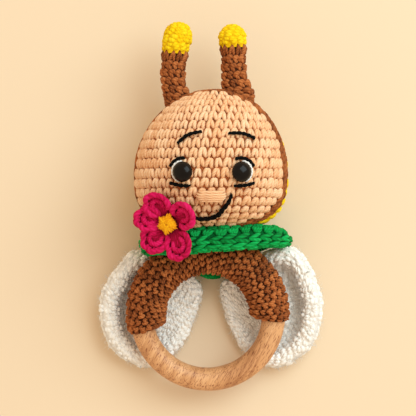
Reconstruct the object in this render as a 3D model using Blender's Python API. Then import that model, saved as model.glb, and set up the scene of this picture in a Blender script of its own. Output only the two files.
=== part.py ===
"""A crocheted bee rattle on a wooden teething ring, lying face up on a table.

Frame: metres, +Z up out of the table, +Y from the ring towards the antennae, +X to the right.
The origin is on the table, under the middle of the stuffed head.
"""

import math

import bmesh
import bpy
from mathutils import Matrix, Vector

MM = 0.001

# Clearances
GAP = 0.3 * MM                  # between meshes that touch on the real toy
REST_FLAT = 0.5 * MM            # how far soft pieces flatten on the table

# Stuffed head, an egg lying on its back
HEAD_WIDTH = 70 * MM
HEAD_DEPTH = 64 * MM
HEAD_UPPER = 39.0 * MM          # from the widest section to the crown
HEAD_LOWER = 25.6 * MM          # from the widest section to the neck seam
JAW_FULLNESS = 2.85             # seen from the front, 2 is an ellipse and larger is squarer
CHIN_FULLNESS = 1.8             # the same, seen from the side
FABRIC = 3 * MM                 # thickness of the crocheted fabric
FACE_SEAM = 8.3 * MM            # the face's edge, in front of the widest section
FACE_TILT = math.radians(6)     # the face's edge lies further forward on the right
FACE_NOD = math.radians(-1.2)   # and a little further back towards the crown
BACK_SEAM = -1.5 * MM           # edge between the hood's brown band and its yellow back
BACK_TILT = math.radians(7)
BACK_NOD = math.radians(-17)    # the yellow shows only low on the right

# Rattle capsule inside the stuffing
CAPSULE_DIAMETER = 26 * MM
CAPSULE_WALL = 1.6 * MM
PELLET_DIAMETER = 4.4 * MM
PELLET_CIRCLE = 5.5 * MM        # radius on which the outer pellets lie
OUTER_PELLETS = 6

# Safety eyes
EYE_DIAMETER = 8.8 * MM
EYE_DOME = 3.4 * MM
EYE_SPACING = 24.6 * MM
EYE_SHIFT = 0.4 * MM            # the pair sits a little to the right
EYE_HEIGHT = 0.7 * MM           # above the widest section
SHANK_DIAMETER = 2.4 * MM
SHANK_END = 1.2 * MM            # shank past the washer
WASHER_DIAMETER = 8 * MM
WASHER_THICKNESS = 1.2 * MM

# Embroidery on the face, given as (x, y) on the head seen from the front
THREAD_DIAMETER = 1.6 * MM
WHITE_THREAD_DIAMETER = 1.0 * MM
EYE_WHITE_ARC = (100, 245)      # degrees round the left eye, mirrored on the right
UPPER_LASH_ARC = (84, 152)
LOWER_LASH = ((-6.2, -5.9), (-2.0, -6.7), (2.8, -6.9))
BROWS = {
    "left": ((-14.5, 12.8), (-10.0, 16.4), (-3.9, 18.0)),
    "right": ((7.3, 17.2), (13.4, 17.2), (19.0, 15.1)),
}
MOUTH = ((8.9, -8.7), (7.5, -11.9), (5.1, -15.0), (3.0, -17.4), (0.0, -18.7), (-4.4, -19.2), (-7.8, -18.1))
NOSE_WIDTH = 14 * MM
NOSE_HEIGHT = 4.7 * MM
NOSE_BULGE = 2.4 * MM
NOSE_Y = -9.2 * MM

# Antennae
ANTENNA_SPREAD = 22.2 * MM      # between the two seats on the head
ANTENNA_SHIFT = -2.9 * MM       # the pair sits a little to the left
ANTENNA_LEAN = {"left": math.radians(3.5), "right": math.radians(3)}    # inwards
ANTENNA_BASE = 12 * MM          # diameter of the rounded base
STEM_DIAMETER = 11.8 * MM
STEM_LENGTH = 13.9 * MM         # above the base's centre
TIP_DIAMETER = 13.2 * MM
TIP_LENGTH = {"left": 14.9 * MM, "right": 11 * MM}
ANTENNA_FABRIC = 2.4 * MM
BASE_DIMPLE = 1.2 * MM          # how deep the base presses into the hood

# Wooden ring and its crocheted sleeve
RING_DIAMETER = 70.8 * MM
RING_THICKNESS = 10.7 * MM
RING_TILT = math.radians(8)     # the ring's far end dips to the table
RING_SHIFT = -1.5 * MM          # the ring sits a little to the left
SLEEVE_THICKNESS = 19.2 * MM
SLEEVE_INSET = 1.9 * MM         # the sleeve bunches towards the hole
SLEEVE_ARC = (-4, 194)          # degrees round the ring

# Wings, a pair of soft pads behind the ring
WING_THICKNESS = 8 * MM
WING_FULLNESS = 1.3 * MM        # how much further the rolled outer rim is stuffed, to each side
WING_CURL = 19 * MM             # how far the outer edge curls up
WING_CENTRE = (-28 * MM, 0.0)
WING_OUTLINE = (                # left wing, (x, y) in mm in the ring's plane
    (-4.2, 11.0), (-6.8, -4.0), (-16.0, -20.5), (-31.0, -27.0), (-46.0, -15.0),
    (-51.6, 4.0), (-44.5, 23.5), (-34.0, 31.4), (-15.0, 22.0),
)
WING_HINGE = 2.5 * MM           # from the middle line

# Neck scarf
SCARF_TUCK = 4.8 * MM           # centre line inside the head's widest outline, seen from the front
SCARF_FRONT = 10.5 * MM         # centre line in front of the head's middle, under the chin
SCARF_REAR = 25 * MM            # centre line behind the head's middle, at the back
SCARF_HEIGHT = 11.6 * MM
SCARF_THICKNESS = 8.6 * MM
SCARF_DROP = 13.4 * MM          # the back hangs lower than the front
SCARF_SAG = 14                  # how late the drop comes, 1 is an even slope from front to back
SCARF_BELOW_CHIN = 2.95 * MM    # centre line below the neck seam at the front
SCARF_SHIFT = 1.8 * MM          # it is pulled a little to the right
SCARF_TILT = math.radians(4)    # and up on that side
SCARF_TIP = 18 * MM             # width over which its low back comes between the wings

# Crocheted flower on the scarf
FLOWER_ANGLE = math.radians(-30)    # round the neck from the front, to the left
FLOWER_RISE = 10.9 * MM         # above the scarf's centre line
FLOWER_NOD = math.radians(10)   # leaning down from the scarf's own slope
PETALS = (                      # uneven petals: degrees round the flower, and mm from its middle
    (0, 10.2), (90, 8.4), (179, 9.2), (227, 8.8), (289, 8.8),
)
PETAL_DIAMETER = 12.4 * MM
FLOWER_REACH = 14.8 * MM        # where the cupped petals have their full rise
PETAL_WEB = 7 * MM              # reach of the flower where no petal is
PETAL_THICKNESS = 3.2 * MM
PETAL_CUP = 4.2 * MM            # how far the petal tips rise
HEART_DIAMETER = 9 * MM
HEART_HEIGHT = 3 * MM

# Mesh fineness
HEAD_SEGMENTS = 32
HEAD_RINGS = 18
ROUND_SEGMENTS = 16
QUARTER_STEPS = 4
TUBE_SIDES = 14
RING_SEGMENTS = 48
SLEEVE_SEGMENTS = 28
SCARF_SEGMENTS = 48
WING_SPOKES = 28
WING_RINGS = 4
FLOWER_SPOKES = 50

# Colours, linear RGB, with roughness
YARN_ROUGHNESS = 0.85
PEACH = (0.87, 0.47, 0.24)
BROWN = (0.20, 0.065, 0.020)
YELLOW = (0.95, 0.60, 0.02)
GREEN = (0.0, 0.27, 0.075)
PINK = (0.70, 0.012, 0.11)
AMBER = (0.95, 0.42, 0.01)
WHITE = (0.83, 0.79, 0.73)
BLACK = (0.012, 0.012, 0.013)
BEECH = (0.66, 0.35, 0.15)
PALE_PLASTIC = (0.8, 0.8, 0.78)
FIBRE = (0.85, 0.84, 0.82)

# Derived places
HEAD_CENTRE = Vector((0, 0, HEAD_DEPTH / 2 - REST_FLAT))
FACE_NORMAL = Vector((-math.tan(FACE_TILT), -math.tan(FACE_NOD), 1)).normalized()
BACK_NORMAL = Vector((-math.tan(BACK_TILT), -math.tan(BACK_NOD), 1)).normalized()
RING_CIRCLE = (RING_DIAMETER - RING_THICKNESS) / 2
SLEEVE_CIRCLE = RING_CIRCLE - SLEEVE_INSET
SLEEVE_RADIUS = SLEEVE_THICKNESS / 2
WING_MIDDLE = -(SLEEVE_RADIUS + GAP + WING_THICKNESS / 2)   # below the ring's plane
SCARF_WIDE = HEAD_WIDTH / 2 - SCARF_TUCK
SCARF_DEEP = (SCARF_FRONT + SCARF_REAR) / 2
SCARF_FRONT_Y = -HEAD_LOWER - SCARF_BELOW_CHIN


def clear_scene():
    for obj in list(bpy.data.objects):
        bpy.data.objects.remove(obj)


def material(name, colour, roughness=YARN_ROUGHNESS, metallic=0.0):
    made = bpy.data.materials.new(name)
    made.use_nodes = True
    shader = made.node_tree.nodes["Principled BSDF"]
    shader.inputs["Base Color"].default_value = (*colour, 1)
    shader.inputs["Roughness"].default_value = roughness
    shader.inputs["Metallic"].default_value = metallic
    made.diffuse_color = (*colour, 1)
    return made


def add_object(name, bm, finish, frame=None):
    """A named object from a bmesh whose coordinates are local to frame."""
    bmesh.ops.recalc_face_normals(bm, faces=bm.faces)
    mesh = bpy.data.meshes.new(name)
    bm.to_mesh(mesh)
    bm.free()
    mesh.shade_smooth()
    mesh.set_sharp_from_angle(angle=math.radians(40))
    mesh.materials.append(finish)
    obj = bpy.data.objects.new(name, mesh)
    obj.matrix_world = frame or Matrix.Identity(4)
    bpy.context.collection.objects.link(obj)
    return obj


def add_cutter(name, bm, frame=None):
    bmesh.ops.recalc_face_normals(bm, faces=bm.faces)
    mesh = bpy.data.meshes.new(name)
    bm.to_mesh(mesh)
    bm.free()
    obj = bpy.data.objects.new(name, mesh)
    obj.matrix_world = frame or Matrix.Identity(4)
    obj.hide_render = True
    obj.display_type = "WIRE"
    bpy.context.collection.objects.link(obj)
    return obj


def cut(obj, cutter, solver="EXACT"):
    boolean = obj.modifiers.new("cut_" + cutter.name, "BOOLEAN")
    boolean.operation = "DIFFERENCE"
    boolean.solver = solver
    boolean.object = cutter


def turned(profile, segments=ROUND_SEGMENTS):
    """A solid turned about local Z from (radius, height) points that start and end on the axis."""
    bm = bmesh.new()
    points = [bm.verts.new((r, 0, z)) for r, z in profile]
    edges = [bm.edges.new(pair) for pair in zip(points, points[1:])]
    bmesh.ops.spin(bm, geom=points + edges, cent=(0, 0, 0), axis=(0, 0, 1),
                   angle=math.tau, steps=segments, use_merge=True)
    bmesh.ops.remove_doubles(bm, verts=bm.verts, dist=1e-6)
    return bm


def arc(centre, radius, start, end, steps):
    """Points (radius, height) on a circular arc, angles in degrees from the radial direction."""
    angles = [math.radians(start + (end - start) * i / steps) for i in range(steps + 1)]
    return [(centre[0] + radius * math.cos(a), centre[1] + radius * math.sin(a)) for a in angles]


def on_axis(points):
    """The same profile with its two ends put exactly on the axis."""
    return [(0.0, points[0][1]), *points[1:-1], (0.0, points[-1][1])]


def lofted(rings, closed=False):
    """Faces between rings of points. An open loft gets a face at each end."""
    bm = bmesh.new()
    loops = [[bm.verts.new(p) for p in ring] for ring in rings]
    pairs = list(zip(loops, loops[1:])) + ([(loops[-1], loops[0])] if closed else [])
    for first, second in pairs:
        for i in range(len(first)):
            j = (i + 1) % len(first)
            bm.faces.new((first[i], first[j], second[j], second[i]))
    if not closed:
        bm.faces.new(loops[0])
        bm.faces.new(reversed(loops[-1]))
    return bm


def pole_lofted(start, rings, end):
    """A closed loft whose first and last ring shrink to a point."""
    bm = bmesh.new()
    loops = [[bm.verts.new(p) for p in ring] for ring in rings]
    for first, second in zip(loops, loops[1:]):
        for i in range(len(first)):
            j = (i + 1) % len(first)
            bm.faces.new((first[i], first[j], second[j], second[i]))
    for point, loop in ((start, loops[0]), (end, loops[-1])):
        pole = bm.verts.new(point)
        for i in range(len(loop)):
            bm.faces.new((pole, loop[i], loop[(i + 1) % len(loop)]))
    return bm


def smooth_path(points, steps, closed=False):
    """Points along a Catmull-Rom curve through the given ones."""
    points = [Vector(p) for p in points]
    count = len(points)
    if closed:
        knots = [points[-1], *points, points[0], points[1]]
    else:
        knots = [2 * points[0] - points[1], *points, 2 * points[-1] - points[-2]]
    path = []
    for i in range(count if closed else count - 1):
        a, b, c, d = knots[i:i + 4]
        for step in range(steps):
            t = step / steps
            path.append(0.5 * (2 * b + (c - a) * t + (2 * a - 5 * b + 4 * c - d) * t * t
                               + (3 * b - a - 3 * c + d) * t ** 3))
    return path if closed else [*path, points[-1]]


# Stuffed head

def head_section(y, grow=0.0):
    """Half width and half depth of the head at height y from its widest section."""
    reach, fullness = (HEAD_UPPER, (2, 2)) if y >= 0 else (HEAD_LOWER, (JAW_FULLNESS, CHIN_FULLNESS))
    share = min(1.0, abs(y) / (reach + grow))
    wide, deep = ((1 - share ** power) ** (1 / power) for power in fullness)
    return (HEAD_WIDTH / 2 + grow) * wide, (HEAD_DEPTH / 2 + grow) * deep


def head_blank(grow=0.0):
    """The head as one closed skin, grown by that much all round."""
    rings = []
    for i in range(1, HEAD_RINGS):
        rise = math.cos(math.pi * i / HEAD_RINGS)
        y = (HEAD_UPPER + grow) * rise
        if rise < 0:
            y = -(HEAD_LOWER + grow) * abs(rise) ** (2 / JAW_FULLNESS)
        wide, deep = head_section(y, grow)
        turns = [math.tau * k / HEAD_SEGMENTS for k in range(HEAD_SEGMENTS)]
        rings.append([HEAD_CENTRE + Vector((wide * math.cos(t), y, deep * math.sin(t))) for t in turns])
    crown = HEAD_CENTRE + Vector((0, HEAD_UPPER + grow, 0))
    neck = HEAD_CENTRE - Vector((0, HEAD_LOWER + grow, 0))
    bm = pole_lofted(crown, rings, neck)
    bmesh.ops.recalc_face_normals(bm, faces=bm.faces)
    return bm


def nested(outer, inner):
    """Two skins in one bmesh, the outer one facing out and the inner one facing in."""
    bmesh.ops.recalc_face_normals(outer, faces=outer.faces)
    bmesh.ops.recalc_face_normals(inner, faces=inner.faces)
    bmesh.ops.reverse_faces(inner, faces=inner.faces)
    mesh = bpy.data.meshes.new("skin")
    inner.to_mesh(mesh)
    inner.free()
    outer.from_mesh(mesh)
    bpy.data.meshes.remove(mesh)
    return outer


def trim(bm, point, normal):
    """Keeps the side that normal points to, and closes the cut wall or hole."""
    made = bmesh.ops.bisect_plane(bm, geom=bm.verts[:] + bm.edges[:] + bm.faces[:], dist=1e-7,
                                  plane_co=point, plane_no=normal, clear_inner=True)
    edges = [e for e in made["geom_cut"] if isinstance(e, bmesh.types.BMEdge)]
    loose = {v for e in edges for v in e.verts}
    loops = 0
    while loose:
        loops += 1
        front = [loose.pop()]
        while front:
            ends = [e.other_vert(front[-1]) for e in edges if front[-1] in e.verts]
            front.pop()
            for vert in loose.intersection(ends):
                loose.discard(vert)
                front.append(vert)
    if loops == 2:
        bmesh.ops.bridge_loops(bm, edges=edges)
    else:
        bmesh.ops.holes_fill(bm, edges=edges)
    return bm


def seam_height(offset, normal, x, y):
    """How far a seam's plane lies in front of the head's middle over (x, y)."""
    return (offset - normal.x * x - normal.y * y) / normal.z


def face_point(x, y, lift=0.0):
    """The point of the face over (x, y), lifted along the surface's normal."""
    def skin(px, py):
        wide, deep = head_section(py)
        return Vector((px, py, HEAD_CENTRE.z + deep * math.sqrt(max(1 - (px / wide) ** 2, 0.0))))
    step = 0.1 * MM
    normal = (skin(x + step, y) - skin(x - step, y)).cross(skin(x, y + step) - skin(x, y - step))
    normal.normalize()
    return skin(x, y) + normal * lift, normal


def head_panels(peach, brown, yellow):
    """Face, hood band and hood back, three crocheted shells sewn edge to edge."""
    def shell():
        return nested(head_blank(), head_blank(-FABRIC))
    face = trim(shell(), HEAD_CENTRE + FACE_NORMAL * (FACE_SEAM + GAP / 2), FACE_NORMAL)
    band = trim(shell(), HEAD_CENTRE + FACE_NORMAL * (FACE_SEAM - GAP / 2), -FACE_NORMAL)
    band = trim(band, HEAD_CENTRE + BACK_NORMAL * (BACK_SEAM + GAP / 2), BACK_NORMAL)
    back = trim(shell(), HEAD_CENTRE + BACK_NORMAL * (BACK_SEAM - GAP / 2), -BACK_NORMAL)
    back = trim(back, Vector((0, 0, 0)), Vector((0, 0, 1)))
    return (
        add_object("face_panel", face, peach),
        add_object("hood_band", band, brown),
        add_object("hood_back", back, yellow),
    )


def sphere_skin(radius, centre):
    bm = turned(on_axis(arc((0, 0), radius, 90, -90, ROUND_SEGMENTS // 2)))
    bm.transform(Matrix.Translation(centre))
    return bm


def stuffing(fibre):
    """Two wads of fibrefill that hold the capsule between them."""
    wads = []
    for name, side in (("front_stuffing", 1), ("rear_stuffing", -1)):
        wad = nested(head_blank(-FABRIC - GAP), sphere_skin(CAPSULE_DIAMETER / 2 + GAP, HEAD_CENTRE))
        split = HEAD_CENTRE + Vector((0, 0, side * GAP / 2))
        wads.append(add_object(name, trim(wad, split, Vector((0, 0, side))), fibre))
    return wads


def capsule(plastic):
    """Two half shells of the rattle capsule."""
    for name, side in (("capsule_front", 1), ("capsule_rear", -1)):
        outer = sphere_skin(CAPSULE_DIAMETER / 2, HEAD_CENTRE)
        half = nested(outer, sphere_skin(CAPSULE_DIAMETER / 2 - CAPSULE_WALL, HEAD_CENTRE))
        split = HEAD_CENTRE + Vector((0, 0, side * GAP / 2))
        add_object(name, trim(half, split, Vector((0, 0, side))), plastic)


def pellets(plastic):
    """Loose pellets at the bottom of the capsule, each with a clear lane above it."""
    free = CAPSULE_DIAMETER / 2 - CAPSULE_WALL - PELLET_DIAMETER / 2 - GAP
    places = [(0.0, 0.0)]
    for i in range(OUTER_PELLETS):
        angle = math.tau * i / OUTER_PELLETS
        places.append((PELLET_CIRCLE * math.cos(angle), PELLET_CIRCLE * math.sin(angle)))
    for number, (x, y) in enumerate(places, 1):
        drop = math.sqrt(free ** 2 - x ** 2 - y ** 2)
        bm = bmesh.new()
        bmesh.ops.create_icosphere(bm, subdivisions=2, radius=PELLET_DIAMETER / 2)
        place = HEAD_CENTRE + Vector((x, y, -drop))
        add_object(f"pellet_{number}", bm, plastic, Matrix.Translation(place))
        print(f"pellet_{number} at {[round(c / MM, 2) for c in place]} mm, travel {2 * drop / MM:.2f} mm")


# Face details

def eye_frame(side):
    """Local Z looks out of the face at an eye."""
    place, normal = face_point(EYE_SHIFT + side * EYE_SPACING / 2, EYE_HEIGHT)
    return Matrix.Translation(place) @ normal.to_track_quat("Z", "Y").to_matrix().to_4x4()


def eyes(face, wad, gloss, pale):
    """Domed safety eyes, their locking washers and the holes that they need."""
    radius = EYE_DIAMETER / 2
    shank = SHANK_DIAMETER / 2
    under_middle = head_section(EYE_HEIGHT, -FABRIC)[1]
    under_rim = head_section(EYE_HEIGHT - WASHER_DIAMETER / 2, -FABRIC)[1]
    washer_top = -(FABRIC + under_middle - under_rim + 2 * GAP)     # the rim meets the curved fabric first
    washer_bottom = washer_top - WASHER_THICKNESS
    shank_bottom = washer_bottom - SHANK_END
    dome = [(radius * math.cos(a), GAP + EYE_DOME * math.sin(a))
            for a in (math.pi / 2 * (1 - i / 6) for i in range(7))]
    for name, side in (("left", -1), ("right", 1)):
        frame = eye_frame(side)
        profile = [*dome, (shank, GAP), (shank, shank_bottom), (0, shank_bottom)]
        add_object(f"eye_{name}", turned(on_axis(profile)), gloss, frame)
        bore = shank + GAP
        washer = [
            [(r * math.cos(a), r * math.sin(a), z) for a in (math.tau * i / ROUND_SEGMENTS
                                                            for i in range(ROUND_SEGMENTS))]
            for r, z in ((WASHER_DIAMETER / 2, washer_top), (WASHER_DIAMETER / 2, washer_bottom),
                         (bore, washer_bottom), (bore, washer_top))
        ]
        add_object(f"eye_washer_{name}", lofted(washer, closed=True), pale, frame)
        hole = turned([(0, FABRIC), (bore, FABRIC), (bore, -2 * FABRIC), (0, -2 * FABRIC)])
        cut(face, add_cutter(f"eye_hole_{name}", hole, frame))
        wide = WASHER_DIAMETER / 2 + GAP
        deep = shank_bottom - GAP
        pocket = turned([(0, FABRIC), (wide, FABRIC), (wide, washer_bottom - GAP),
                         (bore, washer_bottom - GAP), (bore, deep), (0, deep)])
        cut(wad, add_cutter(f"eye_pocket_{name}", pocket, frame))


def thread(name, path, diameter, finish):
    """A round thread through points that already lie over the face."""
    curve = bpy.data.curves.new(name, "CURVE")
    curve.dimensions = "3D"
    curve.bevel_depth = diameter / 2
    curve.bevel_resolution = 2
    curve.use_fill_caps = True
    spline = curve.splines.new("POLY")
    spline.points.add(len(path) - 1)
    for point, place in zip(spline.points, path):
        point.co = (*place, 1)
    curve.materials.append(finish)
    obj = bpy.data.objects.new(name, curve)
    bpy.context.collection.objects.link(obj)
    return obj


def face_path(points, diameter, steps=4):
    """A smooth path over the face through (x, y) points in mm."""
    flat = smooth_path([(x * MM, y * MM, 0) for x, y in points], steps)
    return [face_point(p.x, p.y, GAP + diameter / 2)[0] for p in flat]


def eye_arc(side, radius, degrees, steps=8):
    """(x, y) in mm on a circle round an eye. The right eye mirrors the left."""
    angles = [math.radians(degrees[0] + (degrees[1] - degrees[0]) * i / steps) for i in range(steps + 1)]
    middle = EYE_SPACING / 2
    return [((EYE_SHIFT + side * (middle - radius * math.cos(a))) / MM,
             (EYE_HEIGHT + radius * math.sin(a)) / MM) for a in angles]


def embroidery(black, white, peach):
    """Brows, lashes, whites of the eyes, nose and mouth, each its own stitched thread."""
    white_circle = EYE_DIAMETER / 2 + GAP + WHITE_THREAD_DIAMETER / 2
    lash_circle = white_circle + WHITE_THREAD_DIAMETER / 2 + GAP + THREAD_DIAMETER / 2
    for name, side in (("left", -1), ("right", 1)):
        crescent = face_path(eye_arc(side, white_circle, EYE_WHITE_ARC), WHITE_THREAD_DIAMETER, 1)
        thread(f"eye_white_{name}", crescent, WHITE_THREAD_DIAMETER, white)
        upper = face_path(eye_arc(side, lash_circle, UPPER_LASH_ARC), THREAD_DIAMETER, 1)
        thread(f"upper_lash_{name}", upper, THREAD_DIAMETER, black)
        lower = [(EYE_SHIFT / MM + side * (EYE_SPACING / 2 / MM - x), EYE_HEIGHT / MM + y)
                 for x, y in LOWER_LASH]
        thread(f"lower_lash_{name}", face_path(lower, THREAD_DIAMETER), THREAD_DIAMETER, black)
        thread(f"brow_{name}", face_path(BROWS[name], THREAD_DIAMETER), THREAD_DIAMETER, black)
    thread("mouth_stitch", face_path(MOUTH, THREAD_DIAMETER), THREAD_DIAMETER, black)
    add_object("nose_stitch", nose(), peach)


def nose():
    """A satin-stitched bar that swells off the face."""
    rings = []
    steps = 10
    for i in range(1, steps):
        angle = math.pi * i / steps
        swell = math.sin(angle) ** 0.5
        x = -NOSE_WIDTH / 2 * math.cos(angle)
        ring = []
        for k in range(TUBE_SIDES):
            turn = math.tau * k / TUBE_SIDES
            y = NOSE_Y + NOSE_HEIGHT / 2 * swell * math.cos(turn)
            ring.append(face_point(x, y, GAP + NOSE_BULGE / 2 * (1 + swell * math.sin(turn)))[0])
        rings.append(ring)
    ends = [face_point(s * NOSE_WIDTH / 2, NOSE_Y, GAP + NOSE_BULGE / 2)[0] for s in (-1, 1)]
    return pole_lofted(ends[0], rings, ends[1])


# Antennae

def antenna_frame(name, side):
    """Local Z runs up an antenna from the middle of its rounded base."""
    radius = ANTENNA_BASE / 2
    x = ANTENNA_SHIFT + side * ANTENNA_SPREAD / 2
    y = HEAD_UPPER * math.sqrt(1 - (x / (HEAD_WIDTH / 2)) ** 2)
    normal = Vector((x / (HEAD_WIDTH / 2) ** 2, y / HEAD_UPPER ** 2, 0)).normalized()
    band_edges = seam_height(FACE_SEAM, FACE_NORMAL, x, y), seam_height(BACK_SEAM, BACK_NORMAL, x, y)
    band_middle = sum(band_edges) / 2
    place = Vector((x, y, HEAD_CENTRE.z + band_middle)) + normal * (radius + GAP - BASE_DIMPLE)
    up = Matrix.Rotation(side * ANTENNA_LEAN[name], 4, "Z") @ Matrix.Rotation(-math.pi / 2, 4, "X")
    return Matrix.Translation(place) @ up


def antennae(band, brown, yellow, fibre):
    base = ANTENNA_BASE / 2
    stem = STEM_DIAMETER / 2
    tip = TIP_DIAMETER / 2
    wall = ANTENNA_FABRIC
    neck = STEM_LENGTH + GAP
    stem_profile = (arc((0, 0), base, -90, 0, QUARTER_STEPS)
                    + [(stem, STEM_LENGTH), (stem - wall, STEM_LENGTH)]
                    + arc((0, 0), base - wall, 0, -90, QUARTER_STEPS))
    dimple = arc((0, 0), base + GAP, -90, 90, 2 * QUARTER_STEPS)
    for name, side in (("left", -1), ("right", 1)):
        frame = antenna_frame(name, side)
        bulge = STEM_LENGTH + TIP_LENGTH[name] - tip
        cap = (arc((0, bulge), tip - wall, 90, 0, QUARTER_STEPS) + [(stem - wall, neck), (stem, neck)]
               + arc((0, bulge), tip, 0, 90, QUARTER_STEPS))
        core = (arc((0, 0), base - wall - GAP, -90, 0, QUARTER_STEPS) + [(stem - wall - GAP, neck)]
                + arc((0, bulge), tip - wall - GAP, 0, 90, QUARTER_STEPS))
        add_object(f"antenna_stem_{name}", turned(on_axis(stem_profile)), brown, frame)
        add_object(f"antenna_tip_{name}", turned(on_axis(cap)), yellow, frame)
        add_object(f"antenna_stuffing_{name}", turned(on_axis(core)), fibre, frame)
        cut(band, add_cutter(f"antenna_dimple_{name}", turned(on_axis(dimple)), frame))
        print(f"antenna_{name} pivot {[round(c / MM, 2) for c in frame.translation]} mm")


# Wing pads and the ring's place over them

def wing_outline():
    """Reach of the left wing's outline from its centre, for each spoke."""
    path = smooth_path([(x * MM, y * MM, 0) for x, y in WING_OUTLINE], 12, closed=True)
    spokes = [p - Vector((*WING_CENTRE, 0)) for p in path]
    polar = sorted((math.atan2(p.y, p.x) % math.tau, p.length) for p in spokes)
    polar = [(polar[-1][0] - math.tau, polar[-1][1]), *polar, (polar[0][0] + math.tau, polar[0][1])]

    def reach(angle):
        for (a, ra), (b, rb) in zip(polar, polar[1:]):
            if a <= angle <= b:
                return ra + (rb - ra) * (angle - a) / max(b - a, 1e-9)
        return polar[0][1]
    return reach


def wing_surface(reach, share, angle):
    """Middle surface of the left wing. The edge away from the toy's middle curls up."""
    outer_weight = (1 - math.cos(angle)) / 2
    along = reach(angle % math.tau) * share
    return Vector((
        WING_CENTRE[0] + along * math.cos(angle),
        WING_CENTRE[1] + along * math.sin(angle),
        WING_MIDDLE + WING_CURL * outer_weight * share ** 5,
    ))


def wing_half(angle, share):
    """Half the wing's thickness. The rim that curls up is the fullest."""
    return WING_THICKNESS / 2 + WING_FULLNESS * (1 - math.cos(angle)) / 2 * share ** 2


def wing_rings():
    """Rings of points over the left wing, a soft pad with a round rim, in the ring's frame."""
    reach = wing_outline()
    step = 0.01
    rings = []

    def sides(angle, share):
        here = wing_surface(reach, share, angle)
        out = wing_surface(reach, share + step, angle) - wing_surface(reach, share - step, angle)
        around = wing_surface(reach, share, angle + step) - wing_surface(reach, share, angle - step)
        return here, out.normalized(), out.cross(around).normalized()

    def ring(share_of_rim, lift_turn):
        made = []
        for k in range(WING_SPOKES):
            angle = math.tau * k / WING_SPOKES
            half = wing_half(angle, share_of_rim)
            rim = 1 - wing_half(angle, 1) / reach(angle)
            here, out, up = sides(angle, max(rim * share_of_rim, 2 * step))
            made.append(here + out * (half * math.cos(lift_turn)) + up * (half * math.sin(lift_turn)))
        return made

    quarter = math.pi / 2
    shares = [(i + 1) / (WING_RINGS + 1) for i in range(WING_RINGS)]
    rings += [ring(s, quarter) for s in shares]
    rings += [ring(1, quarter * (1 - i / 3)) for i in range(7)]
    rings += [ring(s, -quarter) for s in reversed(shares)]
    return rings


def wing_pad():
    middle = Vector((*WING_CENTRE, WING_MIDDLE))
    half = Vector((0, 0, WING_THICKNESS / 2))
    return pole_lofted(middle + half, wing_rings(), middle - half)


def ring_frame():
    """The ring's tilted frame. The sleeve meets the neck, and the wings lie on the table."""
    tilt = Matrix.Rotation(RING_TILT, 4, "X")
    lowest = min((tilt @ point).z for ring in wing_rings() for point in ring)
    neck = -(HEAD_LOWER + GAP + SLEEVE_RADIUS + SLEEVE_CIRCLE * math.cos(RING_TILT))
    return Matrix.Translation((0, neck, -lowest - REST_FLAT)) @ tilt


RING_FRAME = ring_frame()


# Ring and sleeve

def torus_ring(circle, radius, degrees, sides=TUBE_SIDES):
    """Points round the tube at one station of a ring in the XY plane."""
    angle = math.radians(degrees)
    out = Vector((math.cos(angle), math.sin(angle), 0))
    return [out * (circle + radius * math.cos(math.tau * k / sides))
            + Vector((0, 0, radius * math.sin(math.tau * k / sides))) for k in range(sides)]


def ring_place():
    return RING_FRAME @ Matrix.Translation((RING_SHIFT, 0, 0))


def wooden_ring(wood):
    stations = [360 * i / RING_SEGMENTS for i in range(RING_SEGMENTS)]
    bm = lofted([torus_ring(RING_CIRCLE, RING_THICKNESS / 2, a) for a in stations], closed=True)
    return add_object("wooden_ring", bm, wood, ring_place())


def sleeve_stations():
    start, end = SLEEVE_ARC
    return [start + (end - start) * i / SLEEVE_SEGMENTS for i in range(SLEEVE_SEGMENTS + 1)]


def ring_sleeve(brown):
    """A thick crocheted tube round part of the ring, with a bore that the ring turns in."""
    stations = sleeve_stations()
    outer = [torus_ring(SLEEVE_CIRCLE, SLEEVE_RADIUS, a) for a in stations]
    bore = [torus_ring(RING_CIRCLE, RING_THICKNESS / 2 + GAP, a) for a in stations]
    bm = lofted(outer + bore[::-1], closed=True)
    return add_object("ring_sleeve", bm, brown, ring_place())


def sleeve_clearance():
    """The sleeve's outside grown by the gap, to cut what lies against it."""
    rings = [torus_ring(SLEEVE_CIRCLE, SLEEVE_RADIUS + GAP, a) for a in sleeve_stations()]
    return add_cutter("sleeve_clearance", lofted(rings), ring_place())


# Neck scarf

def scarf_line(angle):
    """A point of the scarf's centre line and its outward direction, at an angle from the front."""
    out = Vector((math.sin(angle) / SCARF_WIDE, 0, math.cos(angle) / SCARF_DEEP)).normalized()
    middle = Vector((
        SCARF_SHIFT + SCARF_WIDE * math.sin(angle),
        SCARF_FRONT_Y - SCARF_DROP * ((1 - math.cos(angle)) / 2) ** SCARF_SAG
        + SCARF_WIDE * math.sin(angle) * math.tan(SCARF_TILT),
        HEAD_CENTRE.z + (SCARF_FRONT - SCARF_REAR) / 2 + SCARF_DEEP * math.cos(angle),
    ))
    return middle, out


def scarf_ring(angle, grow):
    """Points round the scarf's oval section, grown by that much."""
    middle, out = scarf_line(angle)
    turns = [math.tau * k / TUBE_SIDES for k in range(TUBE_SIDES)]
    return [middle + out * ((SCARF_THICKNESS / 2 + grow) * math.cos(t))
            + Vector((0, (SCARF_HEIGHT / 2 + grow) * math.sin(t), 0)) for t in turns]


def scarf_rings(grow=0.0):
    return [scarf_ring(math.tau * i / SCARF_SEGMENTS, grow) for i in range(SCARF_SEGMENTS)]


def neck_scarf(green, sleeve):
    """A thick band round the neck, lower at the back than under the chin."""
    scarf = add_object("neck_scarf", lofted(scarf_rings(), closed=True), green)
    cut(scarf, add_cutter("head_clearance", head_blank(GAP)))
    cut(scarf, sleeve)
    return scarf


# Wings

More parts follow.
